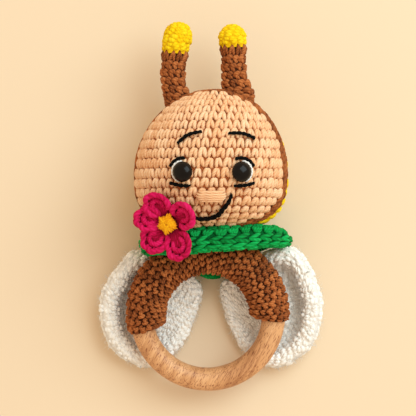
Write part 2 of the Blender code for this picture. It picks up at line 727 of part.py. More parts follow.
def scarf_notch(name, low, wide):
    """A box that keeps the wings' roots clear of the scarf's back."""
    high = SCARF_FRONT_Y + SCARF_HEIGHT
    bm = bmesh.new()
    bmesh.ops.create_cube(bm, size=1)
    bm.transform(Matrix.Translation((SCARF_SHIFT, (low + high) / 2, HEAD_CENTRE.z / 2))
                 @ Matrix.Diagonal((wide, high - low, 4 * SCARF_HEIGHT, 1)))
    return add_cutter(name, bm)


def wings(white, sleeve):
    low = SCARF_FRONT_Y - SCARF_DROP - SCARF_HEIGHT / 2 - 2 * GAP
    tip = scarf_notch("scarf_tip_notch", low, SCARF_TIP)
    notch = scarf_notch("scarf_notch", low + 2.4 * MM, 2 * SCARF_WIDE - SCARF_TIP)
    collar = add_cutter("scarf_clearance", lofted(scarf_rings(5 * GAP), closed=True))
    floor = RING_FRAME.inverted() @ Vector((0, 0, 0))
    up = RING_FRAME.to_3x3().inverted() @ Vector((0, 0, 1))
    for name, side in (("left", 1), ("right", -1)):
        hinge = Vector((-WING_HINGE, 0, WING_MIDDLE))
        bm = trim(wing_pad(), floor, up)
        bm.transform(Matrix.Translation(-hinge))
        bm.transform(Matrix.Diagonal((side, 1, 1, 1)))
        hinge.x *= side
        wing = add_object(f"wing_{name}", bm, white, RING_FRAME @ Matrix.Translation(hinge))
        for cutter in (sleeve, tip, notch, collar):
            cut(wing, cutter, "MANIFOLD")
        print(f"wing_{name} hinge {[round(c / MM, 2) for c in RING_FRAME @ hinge]} mm")


# Flower

def flower_frame():
    """Local Z looks out of the flower, which is let down until it rests on the scarf or the face."""
    middle, out = scarf_line(FLOWER_ANGLE)
    facing = Matrix.Rotation(FLOWER_NOD, 3, Vector((0, 1, 0)).cross(out)) @ out
    place = Matrix.Translation(middle + Vector((0, FLOWER_RISE, 0)))
    frame = place @ facing.to_track_quat("Z", "Y").to_matrix().to_4x4()
    reach = FLOWER_REACH
    below = [point for ring in scarf_rings() for point in ring]
    grid = [i * MM for i in range(-30, 31, 2)]
    below += [face_point(x, y)[0] for x in grid for y in grid
              if y > -HEAD_LOWER and abs(x) < head_section(y)[0]]
    below += [face_point(x * MM, y * MM, GAP + THREAD_DIAMETER)[0] for x, y in MOUTH]
    lift = 0.0
    for point in below:
        local = frame.inverted() @ point
        away = math.hypot(local.x, local.y)
        if away < reach + GAP:
            lift = max(lift, local.z - PETAL_CUP * (away / reach) ** 2 + PETAL_THICKNESS / 2 + GAP)
    return frame @ Matrix.Translation((0, 0, lift))


def petal_reach(angle):
    """Distance to the flower's outline: the petal that reaches furthest there, or the web between petals."""
    radius = PETAL_DIAMETER / 2
    furthest = PETAL_WEB
    for turn, reach in PETALS:
        aside = reach * MM * math.sin(angle - math.radians(turn))
        ahead = reach * MM * math.cos(angle - math.radians(turn))
        if ahead > 0 and abs(aside) < radius:
            furthest = max(furthest, ahead + math.sqrt(radius ** 2 - aside ** 2))
    return furthest


def flower(pink, amber):
    """Round petals in one cupped piece, with a stitched heart."""
    half = PETAL_THICKNESS / 2
    reach = FLOWER_REACH

    def ring(share, lift):
        made = []
        for k in range(FLOWER_SPOKES):
            angle = math.tau * k / FLOWER_SPOKES
            along = (petal_reach(angle) - half) * share
            along += half * math.sqrt(max(1 - lift ** 2, 0)) if share == 1 else 0
            height = PETAL_CUP * (along / reach) ** 2 + half * lift
            made.append(Vector((along * math.cos(angle), along * math.sin(angle), height)))
        return made

    shares = (0.3, 0.65)
    rings = [ring(s, 1) for s in shares]
    rings += [ring(1, math.cos(math.pi * i / 4)) for i in range(5)]
    rings += [ring(s, -1) for s in reversed(shares)]
    bm = pole_lofted(Vector((0, 0, half)), rings, Vector((0, 0, -half)))
    frame = flower_frame()
    add_object("flower_petals", bm, pink, frame)
    radius = HEART_DIAMETER / 2
    seat = half + PETAL_CUP * (radius / reach) ** 2 + GAP
    dome = [(radius * math.cos(a), seat + HEART_HEIGHT * math.sin(a))
            for a in (math.pi / 2 * (1 - i / 5) for i in range(6))]
    add_object("flower_heart", turned(on_axis([*dome, (0, seat)])), amber, frame)


def main():
    clear_scene()
    peach = material("peach_yarn", PEACH)
    brown = material("brown_yarn", BROWN)
    yellow = material("yellow_yarn", YELLOW)
    green = material("green_yarn", GREEN)
    pink = material("pink_yarn", PINK)
    amber = material("amber_yarn", AMBER)
    white = material("white_yarn", WHITE, 0.95)
    black = material("black_thread", BLACK, 0.7)
    white_thread = material("white_thread", WHITE, 0.7)
    gloss = material("eye_plastic", BLACK, 0.12)
    pale = material("pale_plastic", PALE_PLASTIC, 0.4)
    wood = material("beech_wood", BEECH, 0.5)
    fibre = material("fibrefill", FIBRE, 0.95)

    face, band, _ = head_panels(peach, brown, yellow)
    front_wad, _ = stuffing(fibre)
    capsule(pale)
    pellets(pale)
    eyes(face, front_wad, gloss, pale)
    embroidery(black, white_thread, peach)
    antennae(band, brown, yellow, fibre)
    wooden_ring(wood)
    ring_sleeve(brown)
    sleeve = sleeve_clearance()
    neck_scarf(green, sleeve)
    wings(white, sleeve)
    flower(pink, amber)
    print(f"ring centre {[round(c / MM, 2) for c in ring_place().translation]} mm")


main()
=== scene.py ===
"""The crocheted bee rattle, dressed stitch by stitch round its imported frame."""

import math

import bpy
import numpy as np
from mathutils import Matrix, Vector


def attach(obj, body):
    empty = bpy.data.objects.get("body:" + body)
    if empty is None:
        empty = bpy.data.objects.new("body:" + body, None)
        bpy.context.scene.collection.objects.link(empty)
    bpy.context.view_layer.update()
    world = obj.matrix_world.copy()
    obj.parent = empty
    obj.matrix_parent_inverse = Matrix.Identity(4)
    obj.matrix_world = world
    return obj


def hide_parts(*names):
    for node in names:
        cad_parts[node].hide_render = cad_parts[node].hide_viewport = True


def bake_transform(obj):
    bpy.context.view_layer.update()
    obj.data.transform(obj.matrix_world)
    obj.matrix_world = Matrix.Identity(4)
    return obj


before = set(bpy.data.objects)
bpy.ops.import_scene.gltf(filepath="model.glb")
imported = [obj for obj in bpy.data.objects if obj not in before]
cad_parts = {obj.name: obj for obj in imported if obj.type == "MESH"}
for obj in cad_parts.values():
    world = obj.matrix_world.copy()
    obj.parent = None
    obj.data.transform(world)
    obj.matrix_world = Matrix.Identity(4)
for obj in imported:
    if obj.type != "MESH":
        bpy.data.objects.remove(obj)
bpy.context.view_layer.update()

MM = 0.001

# Head and hood, the same sizes as in the solids
HEAD_WIDTH = 70 * MM
HEAD_DEPTH = 64 * MM
HEAD_UPPER = 39.0 * MM
HEAD_LOWER = 25.6 * MM
JAW_FULLNESS = 2.85  # seen from the front, where 2 is an ellipse and more is squarer
CHIN_FULLNESS = 1.8  # the same, seen from the side
HEAD_FLAT = 0.5 * MM  # how far the underside is flattened
HEAD_Z = HEAD_DEPTH / 2 - HEAD_FLAT
HEAD_LEAN = 1.5 * MM  # the stuffed crown leans a little to the right
HEAD_INSET = 0.45 * MM  # tops of the stitches under the solid's surface
FACE_SEAM = (8.3 * MM, 6, -1.2)  # offset, tilt and nod of the face's edge
BACK_SEAM = (-1.5 * MM, 7, -17)  # the same for the edge of the yellow back
HEAD_ROWS = 23
HEAD_STITCH = 3.9 * MM
BAND_ROWS = 5
BAND_LINKS = 44

# Face
EYE_DIAMETER = 8.8 * MM
EYE_DOME = 3.4 * MM
EYE_SPACING = 24.6 * MM
EYE_SHIFT = 0.4 * MM
EYE_HEIGHT = 0.7 * MM
EYE_LIFT = 0.3 * MM
EYE_RIM = ((0.25, 0.97), (0.2, 0.85))  # mm down and narrowing of each step of the turned-in rim
SHANK_DIAMETER = 2.4 * MM
SHANK_LENGTH = 5.5  # mm
THREAD = 0.78 * MM  # radius of the black thread
MOUTH_THREAD = 0.98 * MM
CRESCENT_THREAD = 0.52 * MM
THREAD_END = 2 * MM  # how deep a thread's ends go into the fabric
BROWS = {
    "left": ((-14.5, 12.8), (-10.0, 16.4), (-3.9, 18.0)),
    "right": ((7.3, 17.2), (13.4, 17.2), (19.0, 15.1)),
}
MOUTH = ((8.9, -8.7), (7.5, -11.9), (5.1, -15.0), (3.0, -17.4), (0.0, -18.7), (-4.4, -19.2), (-7.8, -18.1))
CRESCENT = (96, 248)  # degrees round the left eye, mirrored on the right
CRESCENT_GAP = 0.35 * MM  # from the eye's edge
UPPER_LASH = {"left": (84, 158), "right": (66, 158)}
UPPER_LASH_GAP = 1.5 * MM
LOWER_LASH = ((-5.9, -4.6), (-1.6, -5.7), (2.9, -6.0))
NOSE_WIDTH = 14 * MM
NOSE_HEIGHT = 4.7 * MM
NOSE_Y = -9.8 * MM
NOSE_STRANDS = 5
NOSE_STRAND = 0.60 * MM

# Antennae
ANTENNA_PLACES = {"left": (-16.23, 40.33, 27.45), "right": (9.52, 42.84, 29.63)}  # mm
ANTENNA_LEAN = {"left": -3.5, "right": 3.0}  # degrees
ANTENNA_ROOT = 11 * MM  # how far the stem runs on into the head
ANTENNA_FLARE = {"left": 3.4 * MM, "right": 5 * MM}  # how far the base spreads on its right
ANTENNA_PINCH = {"left": 1.4 * MM, "right": 0.4 * MM}  # how far it draws in on its left
BASE_TOP = 3 * MM  # height at which flare and pinch end
BASE_RUN = 10 * MM  # height over which they grow
ANTENNA_BOW = {"left": (-0.4, -1.1, -1.0, 0.1), "right": (0.2, 1.1, 1.2, 1.1)}  # mm aside
BOW_HEIGHTS = (-5, 4, 12, 24)  # mm, where each bow holds
BEND_RUN = (5 * MM, 4 * MM)  # how far below and above the joint the points given with an antenna's bodies lie
STEM_DIAMETER = 11.8 * MM
STEM_LENGTH = 13.9 * MM
STEM_STITCH = (3.5 * MM, 3.9 * MM)  # height and width
STEM_BACKING_DEPTH = 1.1 * MM
TIP_DIAMETER = 13.2 * MM
TIP_LENGTH = {"left": 14.9 * MM, "right": 11 * MM}
TIP_STITCH = (3.6 * MM, 4.2 * MM)
TIP_START = 1.2 * MM  # the yellow starts so far above the seam
TIP_BACKING_DEPTH = 0.7 * MM

# Ring and sleeve
RING_CIRCLE = 30.05 * MM
RING_THICKNESS = 10.7 * MM
RING_TILT = math.radians(8)
RING_SHIFT = -1.5 * MM
RING_PLACE = (0.0, -63.38 * MM, 19.08 * MM)
GRAIN_ANGLE = math.radians(62)
SLEEVE_RADIUS = 9.6 * MM
SLEEVE_INSET = 1.9 * MM  # the sleeve's tube lies so far inside the ring's circle
SLEEVE_CIRCLE = RING_CIRCLE - SLEEVE_INSET
RING_ROOM = 0.4 * MM  # in which the ring turns
SLEEVE_BORE = RING_THICKNESS / 2 + RING_ROOM
SLEEVE_ARC = (math.radians(-4), math.radians(194))
SLEEVE_ROUND = 3 * MM  # rounding of the sleeve's two ends
SLEEVE_ROWS = 33
SLEEVE_STITCH = 3.8 * MM
SLEEVE_OUTSIDE = 0.8  # share of its core's rows on the outside, the others line the bore
SLEEVE_END = 4 * MM  # over this run from an end, its core sinks from the surface
SLEEVE_END_DEPTH = 0.2 * MM
PRESS_ARC = (math.radians(112), math.radians(10))  # half of the arc that presses on the wings, and its fade

# Scarf
SCARF_WIDE = 30.2 * MM
SCARF_DEEP = 17.75 * MM
SCARF_FRONT = 10.5 * MM
SCARF_HEIGHT = 11.6 * MM
SCARF_THICKNESS = 8.6 * MM
SCARF_DROP = 13.4 * MM
SCARF_SAG = 14
SCARF_FRONT_Y = -28.55 * MM
SCARF_SHIFT = 1.8 * MM
SCARF_TILT = math.radians(4)
SCARF_SLIP = (math.radians(98), math.radians(36))  # where it slumps on the right, and how wide
SCARF_FALL = 2.2 * MM  # how far it slips down there
SCARF_SQUEEZE = 0.27  # share of its height that it loses there
SCARF_SLANT = 1.6 * MM  # how far its lower edge stands out there
SCARF_ROWS = 8
SCARF_LOOP_ROWS = (1, 2, 6)  # the other rows are links
SCARF_LOOPS = 30
SCARF_LINKS = 29
SCARF_BAND = 0.25  # how far round its centre line the wings take notice of it

# Wings
WING_THICKNESS = 8 * MM
WING_FULLNESS = 1.3 * MM  # how much further the curled rim is stuffed
WING_CURL = 19 * MM
WING_TRENCH = {"left": 4.2 * MM, "right": 6.8 * MM}  # how far the upper side sinks beside the sleeve
TRENCH_PLACE = (0.66, 0.2)  # share of the way out, and spread
WING_TUCK = {"left": 3.4 * MM, "right": 0.5 * MM}  # how far the shoulder is drawn in beside the scarf
TUCK_BEARING = 112  # degrees round the left wing
WING_LOBE = 1.7 * MM  # how far the lower part of the rim swells out
LOBE_BEARING = 222
BEARING_SPREAD = 28
WING_CENTRE = (-28 * MM, 0.0)
WING_OUTLINE = (
    (-4.2, 11.0), (-6.8, -4.0), (-16.0, -20.5), (-31.0, -27.0), (-46.0, -15.0),
    (-51.6, 4.0), (-44.5, 23.5), (-34.0, 31.4), (-15.0, 22.0),
)
WING_GAP = 0.3 * MM  # behind the sleeve
WING_MIDDLE = -(SLEEVE_RADIUS + WING_GAP + WING_THICKNESS / 2)
WING_HINGE = 2.5 * MM
WING_BEND_RUN = 12 * MM  # how far out from the hinge the second point given with a wing's bodies lies
WING_RIM = 0.19  # share of a wing's run from middle to edge that rolls over the rim
WING_SPAN = 33 * MM  # that run, measured over the surface
WING_MEAN_RADIUS = 23  # mm
WING_NOTCHES = ((9 * MM, -48.35 * MM), (21.2 * MM, -45.95 * MM))  # half width and edge, under the scarf
WING_STITCH = (3.0, 3.4)  # mm, height and width
WING_HAIRS = 5200
WING_BACKING_DEPTH = 0.9 * MM
SLEEVE_ROOM = 0.4 * MM  # between a wing and the sleeve
SCARF_ROOM = 0.4 * MM  # between a wing's core and the scarf
PUFF_REACH = 0.6 * MM  # how much nearer its puffs may come

# Flower
FLOWER_PLACE = (-17.886 * MM, -21.222 * MM, 53.137 * MM)
FLOWER_FACING = (-0.3165, -0.1736, 0.9326)
FLOWER_REACH = 14.8 * MM
WEB_RADIUS = 7.6 * MM
PETALS = (  # turn, radius, reach and rise of each petal
    (0, 6.5, 10.2, 1.2), (90, 6.4, 8.4, 2.4), (179, 6.0, 9.2, 2.8),
    (227, 5.8, 8.8, 2.6), (289, 6.4, 8.8, 1.2),
)
PETAL_CUP = 4.2 * MM
PETAL_LINING = 0.84  # reach of the cup's lining, as a share of the petal
PETAL_LINING_DEPTH = 1.6 * MM
PETAL_LINKS = 6
PETAL_ARC = math.radians(280)  # the part of its edge that the rim takes
PETAL_POSTS = 7
POST_ARC = 210  # degrees
POST_REACH = 0.34  # share of the petal
HEART_POINTS = (45, 134, 203, 258, 324)  # degrees at which its strands are longer
HEART_STRANDS = 34
HEART_REACH = (4.0, 1.2)  # mm, and what a point adds
HEART_HEIGHT = (2.4, 2.3)  # mm, of its edge and of its dome above that

# Fabric and yarn
DRIFT = {  # in stitches, how far each row is turned against the one before
    "head": 0.25, "band": 0.4, "antenna": 0.45, "sleeve": 0.5, "loops": 0.35, "links": 0.4, "wing": 0.3,
}
TABLE_GIVE = 0.8 * MM  # height under which soft pieces flatten on the table
BACKING_DEPTH = 1.7 * MM  # the inside of the fabric, coloured as painted shade, below the solid's surface
BACKING_WALL = 0.8 * MM  # its thickness round the hollow head
STITCH_UNEVEN = (0.035, 0.10 * MM)  # spread of the stitches' size and lift
WAVE_STRIPE = math.tau / 10  # scale that puts one stripe of a wave texture on a unit
FIBRE_SCALE = 2200

# Light and camera
LAMP_PLACE = (0.60, 0.50, 0.90)
LAMP_TARGET = (0, -0.02, 0.02)
LAMP_SIZE = 1.0
LAMP_POWER = 12.5
LAMP_COLOUR = (0.75, 0.94, 1.0)
SKY_COLOUR = (1.0, 0.80, 0.58, 1)
SKY_STRENGTH = 0.90
CAMERA_PLACE = (-1.34 * MM, -14.75 * MM, 0.700)
SENSOR = 36  # mm
FOCUS = 1496 / 416  # focal length, in widths of the picture


# Helpers for meshes and surfaces

def deselect():
    bpy.ops.object.select_all(action="DESELECT")


def open_mesh():
    """Starts editing the active mesh, with all of it selected."""
    bpy.ops.object.mode_set(mode="EDIT")
    bpy.ops.mesh.select_all(action="SELECT")


def close_mesh():
    """Turns the faces outward and ends editing."""
    bpy.ops.mesh.select_all(action="SELECT")
    bpy.ops.mesh.normals_make_consistent(inside=False)
    bpy.ops.object.mode_set(mode="OBJECT")


def read(items, field, size, kind=float):
    """A field of a mesh's points, corners or faces, as a flat array."""
    values = np.empty(size * len(items), kind)
    items.foreach_get(field, values)
    return values


def xyz(x, y, z):
    """Points from their coordinates."""
    return np.stack(np.broadcast_arrays(x, y, z), axis=-1)


def unit(vectors):
    return vectors / np.maximum(np.linalg.norm(vectors, axis=-1, keepdims=True), 1e-12)


def hump(values, middle, spread):
    """A smooth hump: 1 in its middle, and near 0 at twice its spread."""
    return np.exp(-((values - middle) / spread) ** 2)


def wrapped_grid(columns, rows, place, merge=1e-6):
    """A grid primitive whose points move to place(across, along), each from 0 to 1, closed where it meets."""
    deselect()
    bpy.ops.mesh.primitive_grid_add(x_subdivisions=columns, y_subdivisions=rows, size=1, calc_uvs=True)
    obj = bpy.context.object
    flat = read(obj.data.vertices, "co", 3).reshape(-1, 3) + 0.5
    obj.data.vertices.foreach_set("co", place(flat[:, 0], flat[:, 1]).ravel())
    open_mesh()
    bpy.ops.mesh.remove_doubles(threshold=merge)
    close_mesh()
    bpy.ops.object.shade_smooth()
    return obj


def joined(name, pieces):
    """Several meshes as one object."""
    deselect()
    for piece in pieces:
        piece.select_set(True)
    bpy.context.view_layer.objects.active = pieces[0]
    if len(pieces) > 1:
        bpy.ops.object.join()
    pieces[0].name = name
    return pieces[0]


def smooth_line(points, shares):
    """Points on a smooth curve through the given ones, at shares from 0 to 1 of its knots."""
    points = np.asarray(points, float)
    knots = np.vstack([2 * points[0] - points[1], points, 2 * points[-1] - points[-2]])
    place = np.clip(np.asarray(shares), 0, 1) * (len(points) - 1)
    first = np.minimum(place.astype(int), len(points) - 2)
    t = (place - first)[:, None]
    a, b, c, d = (knots[first + k] for k in range(4))
    bent = (2 * a - 5 * b + 4 * c - d) * t ** 2 + (3 * b - a - 3 * c + d) * t ** 3
    return 0.5 * (2 * b + (c - a) * t + bent)


def run_lengths(points):
    """How far along a line each of its points lies."""
    return np.concatenate([[0], np.cumsum(np.linalg.norm(np.diff(points, axis=0), axis=1))])


def strand(path, thick, sides=6, steps=5, out=(0, 0, 1)):
    """One strand of yarn on a smooth path, with its thickness at each point, closed at both ends."""
    path = np.asarray(path, float)
    thick = np.asarray(thick, float)[:, None]
    out = np.broadcast_to(np.asarray(out, float), path.shape)

    def place(across, along):
        here = smooth_line(path, along)
        run = unit(smooth_line(path, along + 0.01) - smooth_line(path, along - 0.01))
        side = unit(np.cross(run, smooth_line(out, along)))
        top = np.cross(side, run)
        radius = smooth_line(thick, along) * (1 - np.abs(2 * along - 1) ** 9)[:, None] ** 0.5
        turn = (math.tau * across)[:, None]
        return here + radius * (np.cos(turn) * side + np.sin(turn) * top)
    return wrapped_grid(sides, steps, place)


def toned(piece, tone):
    """Gives a strand its own tone, from 0, deep, to 1, pale. Below 0 is deeper still."""
    values = np.full(len(piece.data.vertices), tone)
    piece.data.attributes.new("tone", "FLOAT", "POINT").data.foreach_set("value", values)
    return piece


def normals_of(skin, across, along):
    """Outward normals of a surface skin(across, along)."""
    step = 1e-4
    side = skin(across + step, along) - skin(across - step, along)
    up = skin(across, along + step) - skin(across, along - step)
    return unit(np.cross(side, up))


def lifted(skin, across, along, lift):
    """Points over a surface, lifted along its normal."""
    return skin(across, along) + normals_of(skin, across, along) * np.reshape(lift, (-1, 1))


def laid_flat(points):
    """Soft pieces flatten on the table and don't sink into it."""
    points = points.copy()
    low = points[:, 2] < TABLE_GIVE
    points[low, 2] = TABLE_GIVE * np.exp(points[low, 2] / TABLE_GIVE - 1)
    return points


# Stitches are modelled once in mm and copied along rows

def stitch_shape(width, height, *strands):
    """A modelled stitch as arrays: points in shares of its width and height, and its faces."""
    obj = joined("stitch", list(strands))
    mesh = obj.data
    points = read(mesh.vertices, "co", 3).reshape(-1, 3) / np.array((width, height, 1 / MM))
    corners = read(mesh.loops, "vertex_index", 1, int)
    sizes = read(mesh.polygons, "loop_total", 1, int)
    uvs = read(mesh.uv_layers.active.data, "uv", 2)
    bpy.data.objects.remove(obj)
    return points, corners, sizes, uvs


def copies_mesh(name, points, faces, tones):
    """One mesh of many copies of a stitch, each with its own tone."""
    corners, sizes, uvs = faces
    copies, count = len(tones), len(points) // len(tones)
    starts = np.concatenate([[0], np.cumsum(np.tile(sizes, copies))[:-1]])
    mesh = bpy.data.meshes.new(name)
    mesh.vertices.add(len(points))
    mesh.vertices.foreach_set("co", points.ravel())
    mesh.loops.add(len(corners) * copies)
    offsets = np.repeat(np.arange(copies) * count, len(corners))
    mesh.loops.foreach_set("vertex_index", np.tile(corners, copies) + offsets)
    mesh.polygons.add(len(starts))
    mesh.polygons.foreach_set("loop_start", starts)
    mesh.uv_layers.new(name="UVMap").data.foreach_set("uv", np.tile(uvs, copies))
    mesh.attributes.new("tone", "FLOAT", "POINT").data.foreach_set("value", np.repeat(tones, count))
    mesh.update(calc_edges=True)
    mesh.validate()
    mesh.shade_smooth()
    obj = bpy.data.objects.new(name, mesh)
    bpy.context.collection.objects.link(obj)
    return obj


def lay_stitches(name, stitch, skin, rows, seed, keep=None, uneven=1.0, twirl=0.06, sink=0.0):
    """Copies of a stitch on a surface. A row is its place, height, stitch width and stitch places."""
    chance = np.random.default_rng(seed)
    across = np.concatenate([row[3] for row in rows])
    counts = [len(row[3]) for row in rows]
    along, height, width = (np.repeat([row[k] for row in rows], counts) for k in range(3))
    count = len(across)
    turn = chance.normal(0, twirl, count)
    size = chance.normal(1, STITCH_UNEVEN[0] * uneven, count)
    lift = chance.normal(0, STITCH_UNEVEN[1] * uneven, count) - sink
    tones = chance.uniform(0, 1, count)
    kept = np.full(count, True) if keep is None else keep(skin(across, along))
    along, height, width, across, turn, size, lift = (
        values[kept][:, None] for values in (along, height, width, across, turn, size, lift))
    u, v, w = stitch[0].T
    over = across + size * (u * np.cos(turn) - v * np.sin(turn)) * width
    up = along + size * (u * np.sin(turn) + v * np.cos(turn)) * height
    points = laid_flat(lifted(skin, over.ravel(), up.ravel(), (w + lift).ravel()))
    return copies_mesh(name, points, stitch[1:], tones[kept])


def round_row(row, height, count, phase, span=math.tau):
    """A row of stitches that runs all the way round."""
    return row, height, span / count, (np.arange(count) + phase) * span / count


def rounds(start, end, drifts, around, width, least=4):
    """Rows from start to end of a run, each with as many stitches as the way round it takes."""
    height = (end - start) / len(drifts)
    placed = []
    for i, drift in enumerate(drifts):
        run = start + (i + 0.5) * height
        placed.append(round_row(run, height, max(least, round(around(run) / width)), drift))
    return placed


# Finishes

class Look:
    """A material in the making, and the nodes that the finishes share."""

    def __init__(self, name, roughness, shine=0.5):
        self.material = bpy.data.materials.new(name)
        self.material.use_nodes = True
        self.shader = self.material.node_tree.nodes["Principled BSDF"]
        self.place = self.add("TexCoord")
        self.set("Roughness", roughness)
        self.set("Specular IOR Level", shine)

    def set(self, socket, value):
        self.shader.inputs[socket].default_value = value

    def add(self, kind, **values):
        """A new node with values on its sockets."""
        node = self.material.node_tree.nodes.new("ShaderNode" + kind)
        for socket, value in values.items():
            node.inputs[socket].default_value = value
        return node

    def link(self, output, socket):
        self.material.node_tree.links.new(output, socket)

    def noise(self, scale, detail=3.0, vector=None):
        node = self.add("TexNoise", Scale=scale, Detail=detail)
        self.link(self.place.outputs["Object"] if vector is None else vector, node.inputs["Vector"])
        return node.outputs["Fac"]

    def mixed(self, *weighted):
        """A weighted sum of values."""
        total = None
        for value, weight in weighted:
            node = self.add("Math")
            node.operation = "MULTIPLY_ADD"
            node.inputs[1].default_value = weight
            node.inputs[2].default_value = 0
            self.link(value, node.inputs[0])
            if total is not None:
                self.link(total, node.inputs[2])
            total = node.outputs[0]
        return total

    def ramp(self, factor, *stops):
        """Colours at their places along a factor."""
        node = self.add("ValToRGB")
        elements = node.color_ramp.elements
        while len(elements) < len(stops):
            elements.new(0.5)
        for element, (place, colour) in zip(elements, stops):
            element.position = place
            element.color = (*colour, 1)
        self.link(factor, node.inputs[0])
        return node.outputs[0]

    def paint(self, colour):
        self.link(colour, self.shader.inputs["Base Color"])

    def bump(self, height, strength, distance):
        node = self.add("Bump", Strength=strength, Distance=distance)
        self.link(height, node.inputs["Height"])
        self.link(node.outputs[0], self.shader.inputs["Normal"])


def yarn(name, deep, middle, pale, plies=3, turns=4, roughness=0.85, sheen=0.02, shine=0.2):
    """Twisted yarn: ply stripes along each strand, a tone of its own for each stitch, and fine fibres."""
    look = Look(name, roughness, shine)
    look.set("Sheen Weight", sheen)
    look.set("Sheen Roughness", 0.5)
    mapping = look.add("Mapping", Scale=(WAVE_STRIPE * plies, WAVE_STRIPE * turns, 0))
    look.link(look.place.outputs["UV"], mapping.inputs["Vector"])
    wave = look.add("TexWave", Scale=1.0, Distortion=0.0)
    wave.wave_type = "BANDS"
    wave.bands_direction = "DIAGONAL"
    look.link(mapping.outputs["Vector"], wave.inputs["Vector"])
    ply = wave.outputs["Fac"]
    tone = look.add("Attribute")
    tone.attribute_name = "tone"
    fibre = look.noise(FIBRE_SCALE)
    patch = look.noise(120, 1.0)
    mix = look.mixed((tone.outputs["Fac"], 0.30), (ply, 0.22), (fibre, 0.28), (patch, 0.20))
    look.paint(look.ramp(mix, (0.2, deep), (0.5, middle), (0.85, pale)))
    look.bump(look.mixed((ply, 0.7), (fibre, 0.5)), 0.55, 0.25 * MM)
    return look.material


def speckled(name, deep, pale, roughness, scale, strength, depth=0.1 * MM, stops=(0.3, 0.7), shine=0.5):
    """One stuff with a fine grain: moulded plastic, loose fibre or the inside of the fabric."""
    look = Look(name, roughness, shine)
    grain = look.noise(scale)
    look.paint(look.ramp(grain, (stops[0], deep), (stops[1], pale)))
    look.bump(grain, strength, depth)
    return look.material


def painted_shade_cloth(name, deep, pale):
    """The inside of the fabric, seen only between the stitches, coloured deeper than its yarn: painted shade
    for the gaps.
    """
    return speckled(name, deep, pale, 0.95, 1400, 0.5, depth=0.3 * MM, stops=(0.3, 0.75), shine=0.1)


def beech_wood():
    """Pale beech with one grain direction and the short dark flecks of its rays."""
    look = Look("beech_wood", 0.5)

    def grain(size, detail):
        """Noise drawn out along the grain, with its size in mm."""
        mapping = look.add("Mapping", Rotation=(0, 0, GRAIN_ANGLE), Scale=size)
        mapping.vector_type = "TEXTURE"
        look.link(look.place.outputs["Object"], mapping.inputs["Vector"])
        return look.noise(1.0 / MM, detail, mapping.outputs["Vector"])
    flecks = grain((3.4, 0.32, 0.55), 1.0)
    bands = grain((60, 1.7, 8), 3.0)
    tint = grain((40, 14, 14), 2.0)
    wood = look.ramp(look.mixed((bands, 0.6), (tint, 0.4)), (0.34, (0.44, 0.190, 0.073)),
                     (0.5, (0.64, 0.325, 0.142)), (0.66, (0.76, 0.435, 0.215)))
    marks = look.ramp(flecks, (0.57, (1, 1, 1)), (0.63, (0.36, 0.16, 0.085)))
    mix = look.add("Mix")
    mix.data_type = "RGBA"
    mix.blend_type = "MULTIPLY"
    mix.inputs["Factor"].default_value = 0.9
    look.link(wood, mix.inputs["A"])
    look.link(marks, mix.inputs["B"])
    look.paint(mix.outputs["Result"])
    rough = look.add("MapRange")
    rough.inputs["To Min"].default_value = 0.42
    rough.inputs["To Max"].default_value = 0.60
    look.link(bands, rough.inputs["Value"])
    look.link(rough.outputs["Result"], look.shader.inputs["Roughness"])
    look.bump(flecks, 0.15, 0.1 * MM)
    return look.material


YARNS = {
    "peach": yarn("peach_yarn", (0.76, 0.39, 0.185), (0.85, 0.525, 0.305), (0.89, 0.645, 0.43)),
    "brown": yarn("brown_yarn", (0.0957, 0.0244, 0.00609), (0.322, 0.0887, 0.0209), (0.592, 0.204, 0.0609)),
    "yellow": yarn("yellow_yarn", (0.783, 0.452, 0.00261), (0.87, 0.609, 0.00522), (0.87, 0.696, 0.0174),
                   shine=0.1),
    "green": yarn("green_yarn", (0.0006, 0.125, 0.022), (0.0016, 0.310, 0.060), (0.010, 0.53, 0.128),
                  shine=0.1),
    "pink": yarn("pink_yarn", (0.30, 0.002, 0.030), (0.57, 0.005, 0.085), (0.73, 0.019, 0.16), shine=0.1),
    "white": yarn("white_yarn", (0.90, 0.875, 0.845), (0.95, 0.94, 0.92), (0.98, 0.97, 0.955),
                  roughness=0.95, sheen=0.2),
}
# Backing colours deeper than their yarns: painted shade for the gaps between the stitches
PAINTED_SHADE_BACKINGS = {
    "peach": painted_shade_cloth("peach_painted_shade_backing", (0.348, 0.0914, 0.0261), (0.522, 0.183, 0.0653)),
    "brown": painted_shade_cloth("brown_painted_shade_backing", (0.0261, 0.00696, 0.00261), (0.0696, 0.0191, 0.00609)),
    "yellow": painted_shade_cloth("yellow_painted_shade_backing", (0.766, 0.452, 0.00261), (0.853, 0.574, 0.00696)),
    "green": painted_shade_cloth("green_painted_shade_backing", (0, 0.0522, 0.0104), (0.00087, 0.131, 0.0261)),
    "pink": painted_shade_cloth("pink_painted_shade_backing", (0.087, 0.00087, 0.00696), (0.209, 0.00261, 0.0191)),
    "white": painted_shade_cloth("white_painted_shade_backing", (0.84, 0.80, 0.76), (0.92, 0.895, 0.86)),
}
AMBER = yarn("amber_yarn", (0.696, 0.244, 0.00087), (0.835, 0.365, 0.00174), (0.87, 0.487, 0.0087))
WHITE_THREAD = yarn("white_thread", (0.80, 0.79, 0.78), (0.90, 0.89, 0.88), (0.95, 0.94, 0.94),
                    plies=2, turns=12)
BLACK_THREAD = yarn("black_thread", (0.002, 0.002, 0.002), (0.004, 0.004, 0.004), (0.010, 0.010, 0.010),
                    plies=2, turns=16, sheen=0.0, shine=0.05)
EYE_PLASTIC = speckled("eye_plastic", (0.002, 0.001, 0.001), (0.006, 0.004, 0.003), 0.2, 420, 0.03,
                       stops=(0.35, 0.8), shine=0.18)
PALE_PLASTIC = speckled("pale_plastic", (0.74, 0.74, 0.72), (0.83, 0.83, 0.81), 0.4, 900, 0.05)
